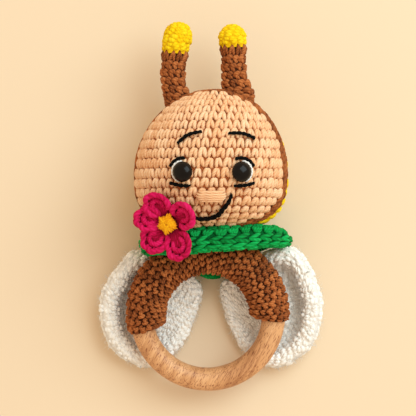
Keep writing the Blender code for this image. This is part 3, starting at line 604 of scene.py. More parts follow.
FIBREFILL = speckled("fibrefill", (0.78, 0.77, 0.75), (0.90, 0.89, 0.87), 0.95, 600, 0.8)
BEECH = beech_wood()


def with_material(obj, material):
    obj.data.materials.clear()
    obj.data.materials.append(material)
    return obj


def finish(name, parts, body, nodes):
    """Joins the parts into one piece that stands for CAD nodes and moves with a body given by its name."""
    piece = joined(name, parts)
    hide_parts(*nodes)
    if isinstance(body, str):
        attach(piece, body)
    else:
        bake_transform(piece)


def crocheted(name, node, body, colour, stitches, core):
    """A soft piece: stitches in one colour of yarn over a core, the fabric's inside coloured as painted
    shade.
    """
    parts = [with_material(part, YARNS[colour]) for part in stitches]
    finish(name, [*parts, with_material(core, PAINTED_SHADE_BACKINGS[colour])], body, [node])


# The stitches that repeat

def single_stitch(top_rise=0.0, top_reach=0.0):
    """A single crochet stitch: two fat strands that part below a shared top, the left one slanting."""
    left = ((0.35, 2.6 + top_reach, -1.8 + top_rise), (0.0, 1.8, -1.05 + top_rise / 2), (-0.6, 0.6, -0.92),
            (-1.0, -0.7, -1.0), (-1.2, -1.8, -1.4), (-1.15, -2.9, -2.3))
    right = ((0.65, 2.6 + top_reach, -1.8 + top_rise), (0.8, 1.8, -1.1 + top_rise / 2), (1.0, 0.6, -1.0),
             (1.2, -0.7, -1.1), (1.45, -1.8, -1.45), (1.55, -2.8, -2.3))
    thick = (0.7, 1.06, 1.1, 1.05, 0.85, 0.5)
    return stitch_shape(4.2, 4.7, strand(left, thick), strand(right, thick))


def knob_stitch(width, height):
    """The back of a single crochet stitch: a knot of two crossing strands over a sunken bar."""
    bar = ((-1.9, -0.3, -2.5), (-1.25, 0.2, -1.25), (0.0, 0.75, -0.8), (1.25, 0.9, -1.3), (1.95, 0.8, -2.5))
    leg = ((-1.5, 1.5, -2.5), (-1.0, 0.5, -1.4), (-0.1, -0.5, -1.0), (1.0, -0.95, -1.35), (1.8, -1.1, -2.5))
    under = ((-1.7, -1.3, -2.9), (-0.8, -1.6, -2.0), (0.2, -1.8, -1.9), (1.1, -1.6, -2.1), (1.8, -1.2, -2.9))
    return stitch_shape(width, height, strand(bar, (0.55, 0.86, 0.95, 0.86, 0.55)),
                        strand(leg, (0.55, 0.82, 0.9, 0.82, 0.5)),
                        strand(under, (0.45, 0.7, 0.8, 0.7, 0.45), steps=4))


def braid_stitch():
    """One link of a crocheted edge: two leaf-shaped strands that meet in a V."""
    upper = ((-3.6, 0.1, -2.2), (-2.0, 0.55, -1.25), (0.3, 1.2, -0.95), (2.3, 1.5, -1.35), (3.6, 1.0, -2.6))
    lower = ((-3.4, -0.2, -2.4), (-1.7, -0.7, -1.35), (0.6, -1.25, -1.0), (2.5, -1.4, -1.4),
             (3.7, -0.9, -2.6))
    thick = (0.5, 0.92, 1.08, 0.92, 0.45)
    return stitch_shape(5.6, 4.4, strand(upper, thick), strand(lower, thick))


def fan_stitch():
    """A loop of the scarf's edge: three fat strands that fan out of one point."""
    strands = []
    for aside, top in ((-1.75, 2.5), (0.15, 2.9), (1.95, 2.3)):
        path = ((0.5 + aside * 0.25, -3.0, -2.2), (0.35 + aside * 0.45, -1.7, -1.25),
                (0.15 + aside * 0.75, 0.2, -0.9), (aside, top - 0.9, -1.15), (aside * 1.05, top, -2.2))
        strands.append(strand(path, (0.6, 0.98, 1.06, 1.0, 0.6)))
    return stitch_shape(5.0, 4.6, *strands)


def link_stitch():
    """A link of the scarf's chain: two leaf-shaped strands that open to the right."""
    upper = ((-3.3, -0.7, -2.3), (-1.8, -0.1, -1.2), (0.3, 1.0, -0.85), (2.2, 1.9, -1.3), (3.3, 2.2, -2.5))
    lower = ((-3.2, -0.6, -2.5), (-1.7, -0.8, -1.35), (0.5, -1.2, -0.95), (2.4, -1.6, -1.4),
             (3.5, -1.7, -2.5))
    thick = (0.55, 0.98, 1.14, 0.98, 0.5)
    return stitch_shape(5.2, 4.4, strand(upper, thick), strand(lower, thick))


def puff_stitch():
    """A soft lump of fluffy yarn: two short fat strands side by side."""
    upper = ((-1.6, 0.5, -1.7), (-0.7, 0.75, -1.0), (0.5, 1.1, -0.95), (1.5, 1.4, -1.6))
    lower = ((-1.7, -1.0, -1.6), (-0.7, -0.75, -0.95), (0.5, -0.4, -0.9), (1.6, -0.1, -1.6))
    return stitch_shape(3.4, 3.0, strand(upper, (0.7, 0.98, 1.0, 0.7)), strand(lower, (0.7, 1.0, 1.05, 0.7)))


def loose_fibre():
    """A single hair that stands off fluffy yarn."""
    path = ((0.0, 0.0, -0.9), (0.12, 0.05, 0.1), (0.45, 0.15, 0.75), (1.0, 0.3, 1.05))
    return stitch_shape(1.0, 1.0, strand(path, (0.07, 0.06, 0.045, 0.02), sides=3, steps=3, out=(0, 1, 0)))


SINGLE = single_stitch()
PEAK = single_stitch(top_rise=1.2, top_reach=1.9)  # its top reaches over the next colour
KNOB = knob_stitch(4.2, 3.7)
LUMP = knob_stitch(3.4, 2.9)  # the same, fuller for its place
BRAID = braid_stitch()
FAN = fan_stitch()
LINK = link_stitch()
PUFF = puff_stitch()
FIBRE = loose_fibre()


# Head

def head_half(y):
    """Half width and half depth of the head at height y."""
    upper = y >= 0
    share = np.clip(np.abs(y) / np.where(upper, HEAD_UPPER, HEAD_LOWER), 0, 1)
    wide_power = np.where(upper, 2.0, JAW_FULLNESS)
    deep_power = np.where(upper, 2.0, CHIN_FULLNESS)
    wide = HEAD_WIDTH / 2 * (1 - share ** wide_power) ** (1 / wide_power)
    deep = HEAD_DEPTH / 2 * (1 - share ** deep_power) ** (1 / deep_power)
    return wide, deep


def head_lean(y):
    return HEAD_LEAN * np.clip(y / HEAD_UPPER, 0, 1) ** 2


def climb_table():
    """Heights on the head and how far each is from the neck, measured over the surface."""
    bend = np.linspace(-1, 1, 800)
    lower = -HEAD_LOWER * np.abs(np.sin(bend * math.pi / 2)) ** 0.8
    heights = np.where(bend < 0, lower, HEAD_UPPER * np.sin(bend * math.pi / 2))
    wide, deep = head_half(heights)
    return heights, run_lengths(np.stack([heights, (wide + deep) / 2], axis=-1))


HEIGHTS, CLIMBS = climb_table()


def head_skin(turn, climb):
    """The head's surface: turn runs round from the face to the right, climb from neck to crown."""
    y = np.interp(climb, CLIMBS, HEIGHTS)
    wide, deep = head_half(y)
    return xyz(head_lean(y) + wide * np.sin(turn), y, HEAD_Z + deep * np.cos(turn))


def face_skin(x, y):
    """The face's surface over (x, y)."""
    wide, deep = head_half(y)
    aside = (x - head_lean(y)) / wide
    return xyz(x, y, HEAD_Z + deep * np.sqrt(np.maximum(1 - aside ** 2, 0)))


def seam_plane(seam):
    """A point and the forward normal of one of the hood's tilted seams."""
    offset, tilt, nod = seam
    normal = Vector((-math.tan(math.radians(tilt)), -math.tan(math.radians(nod)), 1)).normalized()
    return Vector((0, 0, HEAD_Z)) + normal * offset, normal


def in_front(points, seam):
    point, normal = seam_plane(seam)
    return (points - np.array(point)) @ np.array(normal) >= 0


def head_round(climb):
    """The way round the head, by its mean radius."""
    wide, deep = head_half(np.interp(climb, CLIMBS, HEIGHTS))
    return math.pi * (wide + deep)


def head_backing(front_of, behind):
    """The inside of the fabric between two seams, a thin closed wall round the hollow head."""
    def place(across, along):
        climb = np.clip(along, 0.004, 0.996) * CLIMBS[-1]
        return laid_flat(lifted(head_skin, math.tau * across, climb, -BACKING_DEPTH - HEAD_INSET))
    obj = wrapped_grid(72, 48, place, merge=1e-5)
    for seam, sign in ((front_of, 1), (behind, -1)):
        if seam is not None:
            point, normal = seam_plane(seam)
            open_mesh()
            bpy.ops.mesh.bisect(plane_co=point, plane_no=normal * sign, clear_inner=True)
            bpy.ops.object.mode_set(mode="OBJECT")
    wall = obj.modifiers.new("wall", "SOLIDIFY")
    wall.thickness = BACKING_WALL
    wall.offset = -1
    bpy.ops.object.modifier_apply(modifier="wall")
    open_mesh()
    close_mesh()
    return obj


def band_skin(angle, share):
    """The hood band's surface: angle runs leftwards round it from the crown, share from back to face."""
    back, front = (seam_plane(seam) for seam in (BACK_SEAM, FACE_SEAM))

    def height(seam, x, y):
        point, normal = seam
        return point.z - HEAD_Z - ((x - point.x) * normal.x + (y - point.y) * normal.y) / normal.z
    near, far = np.zeros_like(angle), np.full_like(angle, 60 * MM)
    for _ in range(40):     # each turn halves the range that holds the surface
        reach = (near + far) / 2
        x, y = -reach * np.sin(angle), reach * np.cos(angle)
        z = height(back, x, y) * (1 - share) + height(front, x, y) * share
        wide, deep = head_half(y)
        inside = ((x - head_lean(y)) / np.maximum(wide, 1e-9)) ** 2 + (z / np.maximum(deep, 1e-9)) ** 2 < 1
        near, far = np.where(inside, reach, near), np.where(inside, far, reach)
    return xyz(x, y, HEAD_Z + z)


def head():
    """Face and hood back are rounds of stitches. The band between them is worked along its seams."""
    loose = {"uneven": 1.8, "twirl": 0.12, "sink": HEAD_INSET}
    drifts = DRIFT["head"] * np.arange(HEAD_ROWS)
    rows = rounds(0.0, CLIMBS[-1], drifts, head_round, HEAD_STITCH, least=5)
    face = lay_stitches("face", SINGLE, head_skin, rows, 11, lambda p: in_front(p, FACE_SEAM), **loose)
    rear = lay_stitches("rear", SINGLE, head_skin, rows, 13, lambda p: ~in_front(p, BACK_SEAM), **loose)
    rows = [round_row((i + 0.5) / BAND_ROWS, 1 / BAND_ROWS, BAND_LINKS, DRIFT["band"] * i)
            for i in range(BAND_ROWS)]
    band = lay_stitches("band", BRAID, band_skin, rows, 17, sink=HEAD_INSET)
    for name, node, colour, stitches, front_of, behind in (
            ("crochet_face", "face_panel", "peach", face, FACE_SEAM, None),
            ("crochet_hood", "hood_band", "brown", band, BACK_SEAM, FACE_SEAM),
            ("crochet_back", "hood_back", "yellow", rear, None, BACK_SEAM)):
        crocheted(name, node, "toy", colour, [stitches], head_backing(front_of, behind))


head()


# Face details

def thread_on_face(name, spots, node, radius=THREAD, material=BLACK_THREAD,
                   shape=(1.0, 1.0)):
    """A two-ply thread stitched over the face, its ends going into the fabric. Shape swells or thins it."""
    share = np.linspace(0, 1, 24)
    flat = smooth_line(np.array(spots) * MM, share).T
    normals = normals_of(face_skin, *flat)
    thick = np.interp(share, np.linspace(0, 1, len(shape)), shape) * radius
    rise = thick - HEAD_INSET
    rise[[0, -1]] = -THREAD_END
    path = face_skin(*flat) + normals * rise[:, None]
    twist = run_lengths(path) * math.tau / (6 * radius)
    run = unit(np.gradient(path, axis=0))
    side = unit(np.cross(run, normals))
    top = np.cross(side, run)
    plies = []
    for half in (0, math.pi):
        around = np.cos(twist + half)[:, None] * side + np.sin(twist + half)[:, None] * top
        ply = strand(path + around * thick[:, None] * 0.38, thick * 0.74, sides=8, steps=46, out=normals)
        plies.append(with_material(toned(ply, 0.5), material))
    finish(name, plies, "toy", [node])


def eye_arc(side, radius, degrees):
    """(x, y) in mm on a circle round an eye. The right eye mirrors the left."""
    angles = np.radians(np.linspace(*degrees, 9))
    return [((EYE_SHIFT + side * (EYE_SPACING / 2 - radius * math.cos(a))) / MM,
             (EYE_HEIGHT + radius * math.sin(a)) / MM) for a in angles]


def bead_eye(name, side):
    """A domed safety eye: half a sphere, flattened, with a turned-in rim and a shank."""
    radius = EYE_DIAMETER / 2
    deselect()
    bpy.ops.mesh.primitive_uv_sphere_add(segments=48, ring_count=32, radius=radius)
    dome = bpy.context.object
    open_mesh()
    bpy.ops.mesh.select_mode(type="EDGE")
    bpy.ops.mesh.select_all(action="SELECT")
    bpy.ops.mesh.bisect(plane_co=(0, 0, 0.02 * MM), plane_no=(0, 0, 1), clear_inner=True, threshold=1e-7)
    bpy.ops.mesh.select_all(action="SELECT")
    bpy.ops.transform.resize(value=(1, 1, EYE_DOME / radius))
    bpy.ops.mesh.select_all(action="DESELECT")
    bpy.ops.mesh.select_non_manifold()
    to_shank = SHANK_DIAMETER / EYE_DIAMETER / EYE_RIM[0][1] / EYE_RIM[1][1]
    for down, width in (*EYE_RIM, (0.0, to_shank), (SHANK_LENGTH, 1.0)):
        bpy.ops.mesh.extrude_region_move(TRANSFORM_OT_translate={"value": (0, 0, -down * MM)})
        bpy.ops.transform.resize(value=(width, width, 1))
    bpy.ops.mesh.edge_face_add()
    close_mesh()
    bpy.ops.object.shade_smooth_by_angle(angle=math.radians(50))
    spot = np.array([EYE_SHIFT + side * EYE_SPACING / 2]), np.array([EYE_HEIGHT])
    upright = Vector(normals_of(face_skin, *spot)[0]).to_track_quat("Z", "Y").to_matrix().to_4x4()
    seat = Matrix.Translation(Vector(face_skin(*spot)[0]))
    dome.data.transform(seat @ upright @ Matrix.Translation((0, 0, EYE_LIFT)))
    finish(f"bead_eye_{name}", [with_material(dome, EYE_PLASTIC)], "toy", [f"eye_{name}"])


def nose():
    """Satin stitches side by side in face yarn."""
    strands = []
    along = np.linspace(-1, 1, 9)
    for i in range(NOSE_STRANDS):
        share = (i + 0.5) / NOSE_STRANDS - 0.5
        x = NOSE_WIDTH / 2 * (1.0 - 0.25 * (2 * share) ** 2) * along
        y = np.full(9, NOSE_Y + share * NOSE_HEIGHT * 0.95) + 0.45 * MM * (1 - along ** 2)
        normals = normals_of(face_skin, x, y)
        rise = np.interp(along, (-1, -0.8, 0, 0.8, 1), (-1.8, 0.3, 0.9, 0.3, -1.8)) * MM
        rise += 0.5 * MM * (1 - (2 * share) ** 2)
        made = strand(face_skin(x, y) + normals * rise[:, None], np.full(9, NOSE_STRAND), 9, 16, out=normals)
        strands.append(with_material(toned(made, 0.35 + 0.15 * (i % 2)), YARNS["peach"]))
    finish("satin_nose", strands, "toy", ["nose_stitch"])


def face_details():
    for name, side in (("left", -1), ("right", 1)):
        bead_eye(name, side)
        crescent = eye_arc(side, EYE_DIAMETER / 2 + CRESCENT_GAP, CRESCENT)
        thread_on_face(f"eye_crescent_{name}", crescent, f"eye_white_{name}", CRESCENT_THREAD,
                       WHITE_THREAD, (1.0, 1.2, 1.0, 0.75, 0.6))
        upper = eye_arc(side, EYE_DIAMETER / 2 + UPPER_LASH_GAP, UPPER_LASH[name])
        thread_on_face(f"upper_lash_thread_{name}", upper, f"upper_lash_{name}")
        lower = [(EYE_SHIFT / MM + side * (EYE_SPACING / 2 / MM - x), EYE_HEIGHT / MM + y)
                 for x, y in LOWER_LASH]
        thread_on_face(f"lower_lash_thread_{name}", lower, f"lower_lash_{name}")
        thread_on_face(f"brow_thread_{name}", BROWS[name], f"brow_{name}")
    thread_on_face("mouth_thread", MOUTH, "mouth_stitch", MOUTH_THREAD, shape=(0.75, 1.0, 1.05, 1.0, 0.9))
    nose()


face_details()


# Antennae

def antenna_skin(name):
    """An antenna's surface: turn runs round it from the front, climb from its root to its end."""
    lean = math.radians(ANTENNA_LEAN[name])
    place = np.array(ANTENNA_PLACES[name]) * MM
    over = np.array((math.cos(lean), math.sin(lean), 0))
    up = np.array((-math.sin(lean), math.cos(lean), 0))
    front = np.array((0, 0, 1.0))
    stem, tip = STEM_DIAMETER / 2, TIP_DIAMETER / 2
    bulge = STEM_LENGTH + TIP_LENGTH[name] - tip
    profile = [(stem * 0.9, -ANTENNA_ROOT), (stem * 1.04, -3 * MM), (stem, 4 * MM), (stem, STEM_LENGTH),
               (tip, min(bulge, STEM_LENGTH + 4 * MM))]
    profile += [(tip * math.cos(a), bulge + tip * math.sin(a)) for a in np.linspace(0.05, math.pi / 2, 14)]
    profile = np.array(profile)
    climbs = run_lengths(profile)

    def skin(turn, climb):
        radius = np.interp(climb, climbs, profile[:, 0])
        height = np.interp(climb, climbs, profile[:, 1])
        base = (BASE_TOP - height) / BASE_RUN
        flare = ANTENNA_FLARE[name] * np.clip(base, 0, 0.9) ** 1.5
        pinch = ANTENNA_PINCH[name] * np.clip(base, 0, 1.2)
        radius = radius + flare * np.clip(np.sin(turn), 0, 1) ** 2 - pinch * np.clip(-np.sin(turn), 0, 1)
        ring = np.sin(turn)[..., None] * over + np.cos(turn)[..., None] * front
        bow = np.interp(height / MM, BOW_HEIGHTS, ANTENNA_BOW[name]) * MM
        return place + radius[..., None] * ring + height[..., None] * up + bow[..., None] * over
    return skin, climbs, profile[:, 0], climbs[3]


def antennae():
    for name in ("left", "right"):
        skin, climbs, radii, seam = antenna_skin(name)
        length = climbs[-1]
        joint = np.array(ANTENNA_PLACES[name]) * MM
        body = ("toy", f"antenna_{name}", joint - (0, BEND_RUN[0], 0), joint + (0, BEND_RUN[1], 0))

        def around(climb):
            return math.tau * np.interp(climb, climbs, radii)

        def rows_between(start, end, tall, wide):
            drifts = DRIFT["antenna"] * np.arange(max(2, round((end - start) / tall)))
            return rounds(start, end, drifts, around, wide)

        def inner(start, end, depth):
            def place(across, along):
                climb = np.clip(start + along * (end - start), 0.01 * length, 0.985 * length)
                return lifted(skin, math.tau * across, climb, -depth)
            return wrapped_grid(24, 18, place, merge=1e-5)
        *lower, top = rows_between(0.0, seam, *STEM_STITCH)
        stem = [lay_stitches("stem", LUMP, skin, lower, 23, uneven=1.8, twirl=0.3),
                lay_stitches("stem_top", PEAK, skin, [top], 25, uneven=1.4, twirl=0.12)]
        crocheted(f"crochet_stem_{name}", f"antenna_stem_{name}", body, "brown", stem,
                  inner(0, seam, STEM_BACKING_DEPTH))
        rows = rows_between(seam + TIP_START, length, *TIP_STITCH)
        tip = lay_stitches("tip", PUFF, skin, rows, 27, uneven=1.2, twirl=0.5)
        crocheted(f"crochet_tip_{name}", f"antenna_tip_{name}", body, "yellow", [tip],
                  inner(seam, length, TIP_BACKING_DEPTH))


antennae()


# Ring and sleeve

RING_TURN = np.array(((1, 0, 0), (0, math.cos(RING_TILT), -math.sin(RING_TILT)),
                      (0, math.sin(RING_TILT), math.cos(RING_TILT))))


def from_ring(points, shift=RING_SHIFT):
    """From the ring's own tilted plane to the toy."""
    return (points + np.array((shift, 0, 0))) @ RING_TURN.T + np.array(RING_PLACE)


def to_ring(points):
    return (points - np.array(RING_PLACE)) @ RING_TURN - np.array((RING_SHIFT, 0, 0))


def wooden_ring():
    """A turned ring, sanded by hand so that it isn't perfectly even."""
    deselect()
    bpy.ops.mesh.primitive_torus_add(major_radius=RING_CIRCLE, minor_radius=RING_THICKNESS / 2,
                                     major_segments=96, minor_segments=24)
    ring = bpy.context.object
    sanding = bpy.data.textures.new("hand_sanding", "CLOUDS")
    sanding.noise_scale = 14 * MM
    uneven = ring.modifiers.new("uneven", "DISPLACE")
    uneven.texture = sanding
    uneven.texture_coords = "LOCAL"
    uneven.strength = 0.35 * MM
    uneven.mid_level = 0.5
    bpy.ops.object.modifier_apply(modifier="uneven")
    smooth = ring.modifiers.new("smooth", "SUBSURF")
    smooth.levels = 1
    smooth.render_levels = 1
    bpy.ops.object.modifier_apply(modifier="smooth")
    bpy.ops.object.shade_smooth()
    ring.data.transform(Matrix.Translation((0, RING_PLACE[1], RING_PLACE[2]))
                        @ Matrix.Rotation(RING_TILT, 4, "X") @ Matrix.Translation((RING_SHIFT, 0, 0)))
    finish("beech_ring", [with_material(ring, BEECH)], "ring", ["wooden_ring"])


def sleeve_profile():
    """Places along the ring and radii of the sleeve, from its bore over a round end to the other end."""
    length = (SLEEVE_ARC[1] - SLEEVE_ARC[0]) * SLEEVE_CIRCLE
    start = [(0, SLEEVE_BORE)]
    for a in np.linspace(0, math.pi / 2, 8):
        start.append((SLEEVE_ROUND * (1 - math.cos(a)), SLEEVE_RADIUS - SLEEVE_ROUND * (1 - math.sin(a))))
    return np.array(start + [(length - along, radius) for along, radius in reversed(start)])


SLEEVE = sleeve_profile()
SLEEVE_RUNS = run_lengths(SLEEVE)


def sleeve_tube(turn, along, radius):
    """A point of the sleeve: its round ends close in on the ring, which lies off its centre."""
    angle = SLEEVE_ARC[0] + along / SLEEVE_CIRCLE
    out = xyz(np.cos(angle), np.sin(angle), 0.0)
    circle = np.interp(radius, (SLEEVE_BORE, SLEEVE_RADIUS), (RING_CIRCLE, SLEEVE_CIRCLE))
    tube = out * np.sin(turn)[..., None] + np.array((0, 0, 1.0)) * np.cos(turn)[..., None]
    return from_ring(out * circle[..., None] + tube * radius[..., None])


def sleeve_skin(turn, run):
    """The sleeve's surface: turn runs round the tube from the front outwards, run from end to end."""
    along, radius = (np.interp(run, SLEEVE_RUNS, SLEEVE[:, k]) for k in range(2))
    return sleeve_tube(turn, along, radius)


def ring_sleeve():
    def around(run):
        return math.tau * np.interp(run, SLEEVE_RUNS, SLEEVE[:, 1])

    def inner(across, along):
        run = np.clip(along / SLEEVE_OUTSIDE, 0, 1) * SLEEVE_RUNS[-1]
        from_end = np.minimum(run, SLEEVE_RUNS[-1] - run)
        depth = np.interp(from_end, (0, SLEEVE_END), (SLEEVE_END_DEPTH, BACKING_DEPTH))
        outside = lifted(sleeve_skin, math.tau * across, run, -depth)
        back = np.clip((1 - along) / (1 - SLEEVE_OUTSIDE), 0, 1) * SLEEVE[-1, 0]
        bore = sleeve_tube(math.tau * across, back, np.full(len(back), SLEEVE_BORE))
        weight = np.clip((along - SLEEVE_OUTSIDE) / 0.005, 0, 1)[:, None]
        return outside * (1 - weight) + bore * weight
    rows = rounds(0.0, SLEEVE_RUNS[-1], DRIFT["sleeve"] * (np.arange(SLEEVE_ROWS) % 2), around, SLEEVE_STITCH)
    stitches = lay_stitches("sleeve", KNOB, sleeve_skin, rows, 31, uneven=1.5, twirl=0.22)
    core = wrapped_grid(40, 125, inner)
    crocheted("crochet_sleeve", "ring_sleeve", "toy", "brown", [stitches], core)


wooden_ring()
ring_sleeve()


# Scarf

def scarf_line(turn):
    """The scarf's centre line, round the neck from the front."""
    drop = SCARF_DROP * ((1 - np.cos(turn)) / 2) ** SCARF_SAG
    aside = SCARF_WIDE * np.sin(turn)
    return xyz(SCARF_SHIFT + aside, SCARF_FRONT_Y - drop + aside * math.tan(SCARF_TILT),
               HEAD_Z + SCARF_FRONT - SCARF_DEEP + SCARF_DEEP * np.cos(turn))


SCARF_TURNS = np.linspace(0, math.tau, 721)
SCARF_RUNS = run_lengths(scarf_line(SCARF_TURNS))


def scarf_skin(run, rise):
    """The scarf's surface: run goes round the neck from the front, rise round its oval section."""
    turn = np.interp(run % SCARF_RUNS[-1], SCARF_RUNS, SCARF_TURNS)
    out = unit(xyz(np.sin(turn) / SCARF_WIDE, 0.0, np.cos(turn) / SCARF_DEEP))
    up = np.array((0, 1.0, 0))
    slip = hump(turn, *SCARF_SLIP)
    tall = SCARF_HEIGHT / 2 * np.sin(rise) * (1 - SCARF_SQUEEZE * slip) - SCARF_FALL * slip
    wide = SCARF_THICKNESS / 2 * np.cos(rise) - SCARF_SLANT * slip * np.sin(rise)
    return scarf_line(turn) + out * wide[..., None] + up * tall[..., None]


def neck_scarf():
    """Rows of loops along the edges and of links between them."""
    height = math.tau / SCARF_ROWS
    loops, links = [], []
    for i in range(SCARF_ROWS):
        if i in SCARF_LOOP_ROWS:
            loops.append(round_row(i * height, height, SCARF_LOOPS, DRIFT["loops"] * i, SCARF_RUNS[-1]))
        else:
            links.append(round_row(i * height - 0.05, height, SCARF_LINKS, DRIFT["links"] * i,
                                   SCARF_RUNS[-1]))
    parts = [lay_stitches("scarf_links", LINK, scarf_skin, links, 41, uneven=2.4, twirl=0.14),
             lay_stitches("scarf_loops", FAN, scarf_skin, loops, 43, uneven=2.4, twirl=0.16)]

    def inner(across, along):
        return lifted(scarf_skin, SCARF_RUNS[-1] * across, math.tau * along, -BACKING_DEPTH)
    crocheted("crochet_scarf", "neck_scarf", "toy", "green", parts, wrapped_grid(96, 24, inner))


neck_scarf()


# Wings

def wing_reach():
    """Reach of the left wing's outline from its centre, by angle."""
    knots = np.array([(x * MM, y * MM, 0) for x, y in WING_OUTLINE])
    path = smooth_line(np.vstack([knots[-2:], knots, knots[:2]]), np.linspace(0, 1, 400))
    path -= np.array((*WING_CENTRE, 0))
    angles = np.unwrap(np.arctan2(path[:, 1], path[:, 0]))
    order = np.argsort(angles)
    return angles[order], np.linalg.norm(path, axis=1)[order]


WING_ANGLES, WING_REACHES = wing_reach()


def way_out(run):
    """How far out on a wing a run lies, from 0 in the middle to 1 where the rim begins to roll."""
    return np.clip(np.where(run < 1, run, 2 - run) / (1 - WING_RIM), 0, 1)


def wing_skin(name, angle, run):
    """A wing's surface in the ring's plane: angle round its centre, run from the underside's middle (0)
    over the rim (1) to the upper side's middle (2)."""
    low = WING_ANGLES[0]
    reach = np.interp((angle - low) % math.tau + low, WING_ANGLES, WING_REACHES)
    bearing = np.degrees(angle % math.tau)
    reach = reach - WING_TUCK[name] * hump(bearing, TUCK_BEARING, BEARING_SPREAD)
    reach = reach + WING_LOBE * hump(bearing, LOBE_BEARING, BEARING_SPREAD)
    outer = (1 - np.cos(angle)) / 2
    flat = way_out(run)
    roll = np.clip((run - (1 - WING_RIM)) / (2 * WING_RIM), 0, 1) * math.pi - math.pi / 2
    share = flat * (1 - (WING_THICKNESS / 2 + WING_FULLNESS * outer) / reach)

    def middle(share):
        curl = WING_CURL * outer * np.abs(share) ** 5
        return xyz(WING_CENTRE[0] + reach * share * np.cos(angle),
                   WING_CENTRE[1] + reach * share * np.sin(angle), WING_MIDDLE + curl)
    out = unit(middle(share + 0.01) - middle(share - 0.01))
    up = unit(np.cross(out, xyz(-np.sin(angle), np.cos(angle), 0.0)))
    half = WING_THICKNESS / 2 + WING_FULLNESS * outer * flat ** 2
    half = (half - WING_TRENCH[name] * outer * hump(flat, *TRENCH_PLACE) * (run > 1))[..., None]
    return middle(share) + half * (out * np.cos(roll)[..., None] + up * np.sin(roll)[..., None])


def pressed_by_sleeve(points):
    """A wing gives way where the sleeve lies in it."""
    local = to_ring(points)
    near = np.hypot(local[..., 0], local[..., 1])
    angle = np.arctan2(local[..., 1], local[..., 0])
    from_top = np.abs((angle - math.pi / 2 + math.pi) % math.tau - math.pi)
    in_arc = np.clip((PRESS_ARC[0] - from_top) / PRESS_ARC[1], 0, 1)
    tube = np.hypot(near - SLEEVE_CIRCLE, local[..., 2])
    room = SLEEVE_RADIUS + SLEEVE_ROOM
    push = 1 + (np.maximum(room / np.maximum(tube, 1 * MM), 1) - 1) * in_arc
    wider = (SLEEVE_CIRCLE + (near - SLEEVE_CIRCLE) * push) / np.maximum(near, 1e-6)
    return from_ring(local * xyz(wider, wider, push))


def scarf_over(points):
    """How far up a wing may reach before it meets the scarf."""
    aside = points[..., 0] - SCARF_SHIFT
    depth = points[..., 2] - HEAD_Z - SCARF_FRONT + SCARF_DEEP
    turn = np.arctan2(aside / SCARF_WIDE, depth / SCARF_DEEP)
    on_band = np.abs(np.hypot(aside / SCARF_WIDE, depth / SCARF_DEEP) - 1) < SCARF_BAND
    top = np.where(on_band, scarf_line(turn)[..., 1] - SCARF_HEIGHT / 2 - SCARF_ROOM, 0.0)
    for half, low in WING_NOTCHES:
        top = np.where(np.abs(aside) < half, np.minimum(top, low), top)
    return top


def wings():
    for name, side in (("left", 1), ("right", -1)):
        mirror = np.array((side, 1, 1))

        def skin(angle, run):
            return pressed_by_sleeve(from_ring(wing_skin(name, angle * side, run) * mirror, 0.0))

        def inner(across, along):
            run = np.clip(2 * along, 0.01, 1.99)
            made = laid_flat(lifted(skin, math.tau * across, run, -WING_BACKING_DEPTH))
            made[:, 1] = np.minimum(made[:, 1], scarf_over(made))
            return made

        def clear(points):
            return points[:, 1] < scarf_over(points) + PUFF_REACH

        def around(run):
            return math.tau * WING_MEAN_RADIUS * float(way_out(run))
        drifts = DRIFT["wing"] * np.arange(round(2 * WING_SPAN / MM / WING_STITCH[0]))
        rows = rounds(0, 2, drifts, around, WING_STITCH[1])
        puffs = lay_stitches("puffs", PUFF, skin, rows, 51, clear, uneven=2.4, twirl=0.7)
        chance = np.random.default_rng(53)
        hairs = []
        for run, angle in chance.uniform((0.02, 0), (1.98, math.tau), (WING_HAIRS, 2)):
            share = float(way_out(run))
            if chance.uniform() < share:
                hairs.append((run, MM / WING_SPAN, 1 / WING_MEAN_RADIUS / max(share, 0.1), np.array([angle])))
        fluff = lay_stitches("fluff", FIBRE, skin, hairs, 55, clear, uneven=6.0, twirl=3.0)
        hinge = from_ring(np.array((-WING_HINGE * side, 0, WING_MIDDLE)), 0.0)
        body = ("toy", f"{name}_wing", hinge, hinge - np.array((WING_BEND_RUN * side, 0, 0)))
        core = wrapped_grid(96, 72, inner, merge=1e-5)
        crocheted(f"fluffy_wing_{name}", f"wing_{name}", body, "white", [puffs, fluff], core)


wings()


# Flower

